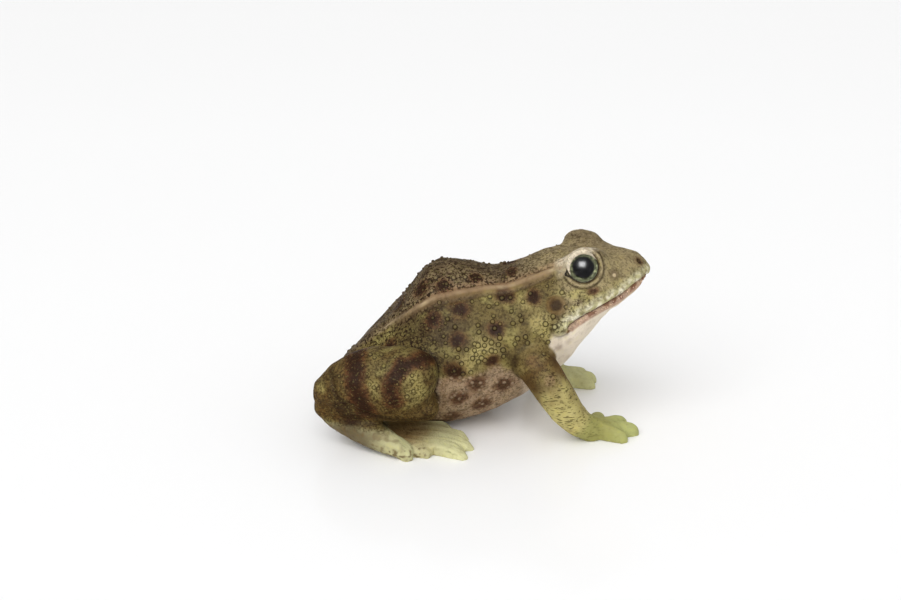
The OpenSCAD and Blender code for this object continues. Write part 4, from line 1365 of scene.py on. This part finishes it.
# %% Lip beads
BARE_LIP = 0.45
BEADS = 64
BEAD_R, BEAD_APART = (0.4, 0.75), 1.5
lip_bed = WartBed(body_skin, body_colour)
mouth_shares = np.linspace(0, 1, len(MOUTH))
beads = []
for step in range(BEADS):
    share = 0.02 + 0.6 * step / BEADS
    at = np.array([np.interp(share, mouth_shares, [p[k] for p in MOUTH]) for k in range(3)])
    at += [draw.uniform(-0.3, 0.3), 0, -draw.uniform(0.7, 1.5)]
    for side in (1, -1):
        if draw.random() < BARE_LIP:
            continue
        place = (at[0], at[1] * side, at[2])
        beads.append(lip_bed.sit(place, draw.uniform(*BEAD_R), BEAD_APART))
beads = [b for b in beads if b]
# Pale bead tops: partly paint, partly painted highlight on the lip
bead_piece = stamp_warts("lip_beads", grain_wart, beads, LIP_PINK * 1.3, 0.9, 0.25)
finish_piece(bead_piece, painted_skin, "painted_skin")

# %% [markdown]
# ## Painted irises
# Each eye is a clear glass dome with the iris painted on a disc behind it. The disc is a
# circle inset a few times, with its distance from the middle kept as an attribute, so one
# material serves both eyes. The middle is set a little off, as the painter's brush left it.

# %% Iris discs
SIDES = ((-1, "right"), (1, "left"))
PUPIL_SHIFT = 0.25 * MM
DISC_LIFT = 0.06 * MM


def eye_matrix(side):
    """Stands a shape made about Z on the seat of one eye."""
    axis = Vector((EYE_AXIS.x, EYE_AXIS.y * -side, EYE_AXIS.z))
    up = Vector((EYE_UP.x, EYE_UP.y * -side, EYE_UP.z))
    fore = up.cross(axis)
    base = Vector((EYE_BASE.x, EYE_BASE.y * -side, EYE_BASE.z)) * MM
    turn = Matrix((fore, up, axis)).transposed().to_4x4()
    return Matrix.Translation(base) @ turn


def seat_at_eye(clay, name, side):
    bmesh.ops.transform(clay, verts=clay.verts, matrix=eye_matrix(side))
    bmesh.ops.recalc_face_normals(clay, faces=clay.faces)
    return into_piece(clay, name)


def iris_disc(name, side):
    disc = bmesh.new()
    bmesh.ops.create_circle(disc, cap_ends=True, segments=48, radius=(EYE_R - 0.1) * MM)
    for _ in range(11):
        face = max(disc.faces, key=lambda f: len(f.verts))
        bmesh.ops.inset_region(disc, faces=[face], thickness=0.5 * MM, depth=0)
    face = max(disc.faces, key=lambda f: len(f.verts))
    bmesh.ops.poke(disc, faces=[face])
    bmesh.ops.translate(disc, verts=disc.verts, vec=(0, 0, DISC_LIFT))
    rim = disc.verts.layers.float.new("rim")
    for v in disc.verts:
        v[rim] = math.hypot(v.co.x - PUPIL_SHIFT * side, v.co.y) / (EYE_R * MM)
    return seat_at_eye(disc, name, side)


PUPIL, IRIS_EDGE = paint_pot(3, 3, 4), paint_pot(14, 15, 12)
IRIS_DARK, IRIS_LIGHT = paint_pot(38, 40, 30), paint_pot(92, 93, 70)


def iris_material():
    material, tree, shader = new_material("painted_iris")
    rim = add(tree, "ShaderNodeAttribute", attribute_name="rim").outputs["Fac"]
    place = add(tree, "ShaderNodeTexCoord").outputs["Object"]
    uneven = maths(tree, "MULTIPLY", noise_at(tree, place, 1600, 2.0), 0.05)
    ragged = maths(tree, "ADD", rim, uneven)
    streaks = ramp(tree, noise_at(tree, place, 900, 3.0, 0.6), 0.35, 0.65)
    ring = mix(tree, streaks, tuple(IRIS_DARK), tuple(IRIS_LIGHT))
    colour = mix(tree, ramp(tree, ragged, 0.64, 0.70), tuple(PUPIL), ring)
    colour = mix(tree, ramp(tree, ragged, 0.90, 0.98), colour, tuple(IRIS_EDGE))
    tree.links.new(colour, shader.inputs["Base Color"])
    shader.inputs["Roughness"].default_value = 0.6
    shader.inputs["Specular IOR Level"].default_value = 0.0
    return material


painted_iris = iris_material()
for side, label in SIDES:
    disc = iris_disc(label + "_iris_disc", side)
    finish_piece(disc, painted_iris, "eye_iris", label + "_eye_iris")

# %% [markdown]
# ## Glass domes
# The domes could stay the CAD nodes, but a highlight shows every facet, so a finer cap is cut
# from a sphere of the same size and stood on the same seat. A little roughness spreads the
# highlight to the soft window of the photograph, and keeps the dark pupil free of speckles.
# For shadow rays the glass is simply clear, so the disc behind it is well lit.

# %% Glass domes
GLASS_IOR = 1.36
GLASS_ROUGHNESS = 0.28
GLASS_SHINE = (0.55, 0.55, 0.55, 1)
GLASS_TINTS = ((0.97, 0.985, 0.97), (0.93, 0.96, 0.93))


def glass_material():
    """Glass that lets light through to the disc behind it, and reflects a soft window."""
    material, tree, shader = new_material("eye_glass")
    shader.inputs["Transmission Weight"].default_value = 1.0
    shader.inputs["IOR"].default_value = GLASS_IOR
    shader.inputs["Specular Tint"].default_value = GLASS_SHINE
    shader.inputs["Roughness"].default_value = GLASS_ROUGHNESS
    place = add(tree, "ShaderNodeTexCoord").outputs["Object"]
    tint = mix(tree, noise_at(tree, place, 260, 2.0), *GLASS_TINTS)
    tree.links.new(tint, shader.inputs["Base Color"])
    clear = add(tree, "ShaderNodeBsdfTransparent")
    choose = add(tree, "ShaderNodeMixShader")
    shadow_ray = add(tree, "ShaderNodeLightPath").outputs["Is Shadow Ray"]
    for index, socket in enumerate((shadow_ray, shader.outputs[0], clear.outputs[0])):
        tree.links.new(socket, choose.inputs[index])
    tree.links.new(choose.outputs[0], tree.nodes["Material Output"].inputs["Surface"])
    return material


def glass_dome(name, side):
    """A cap cut from a sphere, as high as the glass stands above its seat."""
    radius = (EYE_R ** 2 + EYE_DOME ** 2) / (2 * EYE_DOME)
    cap = bmesh.new()
    bmesh.ops.create_uvsphere(cap, u_segments=64, v_segments=48, radius=radius * MM)
    bmesh.ops.translate(cap, verts=cap.verts, vec=(0, 0, (EYE_DOME - radius) * MM))
    bmesh.ops.bisect_plane(cap, geom=[*cap.verts, *cap.edges, *cap.faces], dist=0.0001 * MM,
                           plane_co=(0, 0, 0), plane_no=(0, 0, 1), clear_inner=True)
    bmesh.ops.holes_fill(cap, edges=[e for e in cap.edges if e.is_boundary])
    return seat_at_eye(cap, name, side)


eye_glass = glass_material()
for side, label in SIDES:
    dome = glass_dome(label + "_glass_dome", side)
    finish_piece(dome, eye_glass, "eye_glass", label + "_eye_lens")
    max(dome.data.polygons, key=lambda f: len(f.vertices)).use_smooth = False

# %% [markdown]
# ## Rims of the eyes
# A thin dark rim lies between glass and lids, drawn out to a point at both corners of the
# eye. It is a small round profile spun about the eye's axis and then pulled at the corners.

# %% Eye rims
RIM_R, RIM_LIFT, RIM_THICK = 6.25, 0.55, 0.42
EYE_CORNERS = ((30, 0.8), (200, 1.9))
CORNER_WIDTH = 22
RIM_POT = paint_pot(52, 46, 38)
RIM_DETAIL = [0.2, 0, 0]


def spun_profile(radius, lift, thick, segments, **spin):
    """A round profile beside the Z axis, spun about it."""
    clay = bmesh.new()
    upright = Matrix.Rotation(math.pi / 2, 4, "X")
    stand = Matrix.Translation((radius * MM, 0, lift * MM)) @ upright
    made = bmesh.ops.create_circle(clay, segments=segments, radius=thick * MM, matrix=stand)
    edges = {e for v in made["verts"] for e in v.link_edges}
    bmesh.ops.spin(clay, geom=[*made["verts"], *edges], axis=(0, 0, 1), cent=(0, 0, 0), **spin)
    return clay


def eye_rim(name, side):
    rim = spun_profile(RIM_R, RIM_LIFT, RIM_THICK, 10, angle=2 * math.pi, steps=64, use_merge=True)
    bmesh.ops.remove_doubles(rim, verts=rim.verts, dist=WELD)
    for v in rim.verts:
        turn = math.degrees(math.atan2(v.co.y, v.co.x * -side)) % 360
        for corner, pull in EYE_CORNERS:
            off = abs((turn - corner + 180) % 360 - 180)
            if off < CORNER_WIDTH:
                grow = 1 + pull * (1 - off / CORNER_WIDTH) ** 2 / RIM_R
                v.co.x *= grow
                v.co.y *= grow
    piece = seat_at_eye(rim, name, side)
    count = len(piece.data.vertices)
    keep_paint(piece, np.tile(RIM_POT, (count, 1)), np.tile(RIM_DETAIL, (count, 1)))
    return piece


for side, label in SIDES:
    finish_piece(eye_rim(label + "_eye_rim", side), painted_skin, "painted_skin")

# %% [markdown]
# ## Upper lids
# A thick cream lid hangs over the top of each eye and thins out towards both corners. It is
# the same idea as the rim, a round profile spun about the eye's axis, but only part of the
# way round. Its front is cream, and its back takes the khaki of the brow. The far lid is
# thinner, because the photograph shows less of it.

# %% Upper lids
LID_START, LID_SWEEP = 34, 172
LID_OUT = 1.0
LID_TIP, LID_TAPER = 0.12, 0.3
LID_DETAIL = [0.22, 0, 0]
LID_SIZES = {-1: (6.35, 1.15), 1: (6.0, 0.75)}


def upper_lid(name, side):
    """A spun profile, thinned to a tip at both ends, cream where it faces outwards."""
    lid_ring, lid_thick = LID_SIZES[side]
    sweep = math.radians(LID_SWEEP)
    lid = spun_profile(lid_ring, LID_OUT, lid_thick, 14, angle=sweep, steps=56)
    bmesh.ops.holes_fill(lid, edges=[e for e in lid.edges if e.is_boundary])
    front = lid.verts.layers.float.new("front")
    for v in lid.verts:
        turn = math.atan2(v.co.y, v.co.x) % (2 * math.pi)
        share = turn / sweep
        ring = Vector((math.cos(turn), math.sin(turn), 0))
        middle = ring * (lid_ring * MM) + Vector((0, 0, LID_OUT * MM))
        off = v.co - middle
        v[front] = (off.z - 0.35 * off.dot(ring)) / (lid_thick * MM)
        thin = max(LID_TIP, min(1.0, min(share, 1 - share) / LID_TAPER)) ** 0.7
        sink = Vector((0, 0, (1 - thin) * 0.4 * MM))
        v.co = middle + off * thin - ring * (1 - thin) * 0.5 * MM - sink
    start = Matrix.Rotation(math.radians(LID_START), 3, "Z")
    bmesh.ops.rotate(lid, verts=lid.verts, cent=(0, 0, 0), matrix=start)
    bmesh.ops.scale(lid, verts=lid.verts, vec=(-side, 1, 1))
    facing = np.array([v[front] for v in lid.verts])
    piece = seat_at_eye(lid, name, side)
    cream = np.tile(KHAKI * 0.75, (len(facing), 1))
    brush(cream, soft(-0.35, 0.1, facing), LID)
    brush(cream, 0.35 * soft(0.0, 0.4, ripple(points_of(piece), 0.9, 4.0)), TAN)
    keep_paint(piece, cream, np.tile(LID_DETAIL, (len(facing), 1)))
    return piece


for side, label in SIDES:
    finish_piece(upper_lid(label + "_upper_lid", side), painted_skin, "painted_skin")

# %% [markdown]
# ## Plug and pins
# The rubber plug shows only from below, and the steel pins not at all, but both are real
# pieces. They keep their CAD shape and get a plain finish with a little wear.

# %% Plug and pin materials
RUBBER, WORN_RUBBER = paint_pot(34, 34, 33), paint_pot(58, 56, 52)
STEEL, WORN_STEEL = paint_pot(168, 168, 172), paint_pot(190, 190, 192)
WEAR_STRENGTH, WEAR_DEPTH = 0.25, 0.1 * MM


def worn_material(name, colour, worn, metallic, rough_low, rough_high, scale):
    material, tree, shader = new_material(name)
    shader.inputs["Metallic"].default_value = metallic
    place = add(tree, "ShaderNodeTexCoord").outputs["Object"]
    patch = noise_at(tree, place, scale, 4.0, 0.6)
    worn_colour = mix(tree, ramp(tree, patch, 0.4, 0.7), tuple(colour), tuple(worn))
    tree.links.new(worn_colour, shader.inputs["Base Color"])
    rough = ramp(tree, patch, 0.3, 0.7, rough_low, rough_high)
    tree.links.new(rough, shader.inputs["Roughness"])
    add_bump(tree, shader, patch, WEAR_STRENGTH, WEAR_DEPTH)
    return material


plug_rubber = worn_material("plug_rubber", RUBBER, WORN_RUBBER, 0.0, 0.6, 0.8, 300)
pin_steel = worn_material("pin_steel", STEEL, WORN_STEEL, 1.0, 0.25, 0.4, 500)
for node, piece in frame["nodes"].items():
    if node == "pour_hole_plug" or node.endswith("_dowel"):
        piece.data.materials.clear()
        piece.data.materials.append(plug_rubber if node == "pour_hole_plug" else pin_steel)
print("plug and pins finished")

# %% [markdown]
# ## Table and light
# The photograph is a product shot on white: soft light from above and in front, light from
# all round, a soft shadow under the feet. The floor is a plain sheet of nearly white paper,
# with just enough sheen for a faint mirror image, and the white of the picture comes from it.
# One very wide lamp gives the soft light. The other is seen only in glossy things, and makes
# the window-shaped light in each eye.

# %% Floor
FLOOR_SIZE = 4.0
PAPER = {"Base Color": (0.97, 0.97, 0.97, 1), "Roughness": 0.12, "Specular IOR Level": 0.15}

sheet = bmesh.new()
bmesh.ops.create_grid(sheet, x_segments=1, y_segments=1, size=FLOOR_SIZE)
floor = into_piece(sheet, "floor")
white_paper, _, paper_shader = new_material("white_paper")
for label, value in PAPER.items():
    paper_shader.inputs[label].default_value = value
floor.data.materials.append(white_paper)
print("floor laid")

# %% Lights
ROOM_LIGHT = 0.66
SOFT_LIGHT, SOFT_ANGLE = 1.75, math.radians(60)
SPARKLE_LIGHT, SPARKLE_SIZE = 80.0, (0.8, 0.6)

world = bpy.data.worlds.new("white_room")
bpy.context.scene.world = world
world.use_nodes = True
room = world.node_tree.nodes["Background"]
room.inputs["Strength"].default_value = ROOM_LIGHT
room.inputs["Color"].default_value = (1, 1, 1, 1)


def lamp(name, kind, energy, place, aim, **settings):
    data = bpy.data.lights.new(name, kind)
    data.energy = energy
    for key, value in settings.items():
        setattr(data, key, value)
    light = bpy.data.objects.new(name, data)
    light.location = place
    toward = Vector(aim) - Vector(place)
    light.rotation_euler = toward.to_track_quat("-Z", "Y").to_euler()
    bpy.context.scene.collection.objects.link(light)
    return light


front_light = lamp("front_light", "SUN", SOFT_LIGHT, (-0.35, -0.8, 0.95), (0, 0, 0.03),
                   angle=SOFT_ANGLE)
front_light.visible_glossy = False
sparkle = lamp("eye_sparkle", "AREA", SPARKLE_LIGHT, (-0.06, -0.75, 0.74), (0.03, 0, 0.06),
               shape="RECTANGLE", size=SPARKLE_SIZE[0], size_y=SPARKLE_SIZE[1])
sparkle.visible_diffuse = False
sparkle.visible_transmission = False
print("lamps:", front_light.name, sparkle.name)

# %% [markdown]
# ## Camera
# The camera looks at the frog's right side from a little above, through a long lens, as a
# product photographer would stand. It is placed so that the frog fills the same part of the
# frame as in the photograph.

# %% Camera
LENS, SENSOR = 85, 36
CAMERA_PLACE = (-0.01304, -0.8249, 0.3504)
CAMERA_TILT = math.radians(70)

camera_data = bpy.data.cameras.new("camera")
camera_data.lens = LENS
camera_data.sensor_width = SENSOR
camera = bpy.data.objects.new("camera", camera_data)
camera.location = CAMERA_PLACE
camera.rotation_euler = (CAMERA_TILT, 0, 0)
bpy.context.scene.collection.objects.link(camera)
bpy.context.scene.camera = camera
bpy.context.scene.view_settings.view_transform = "Standard"
print("camera set")
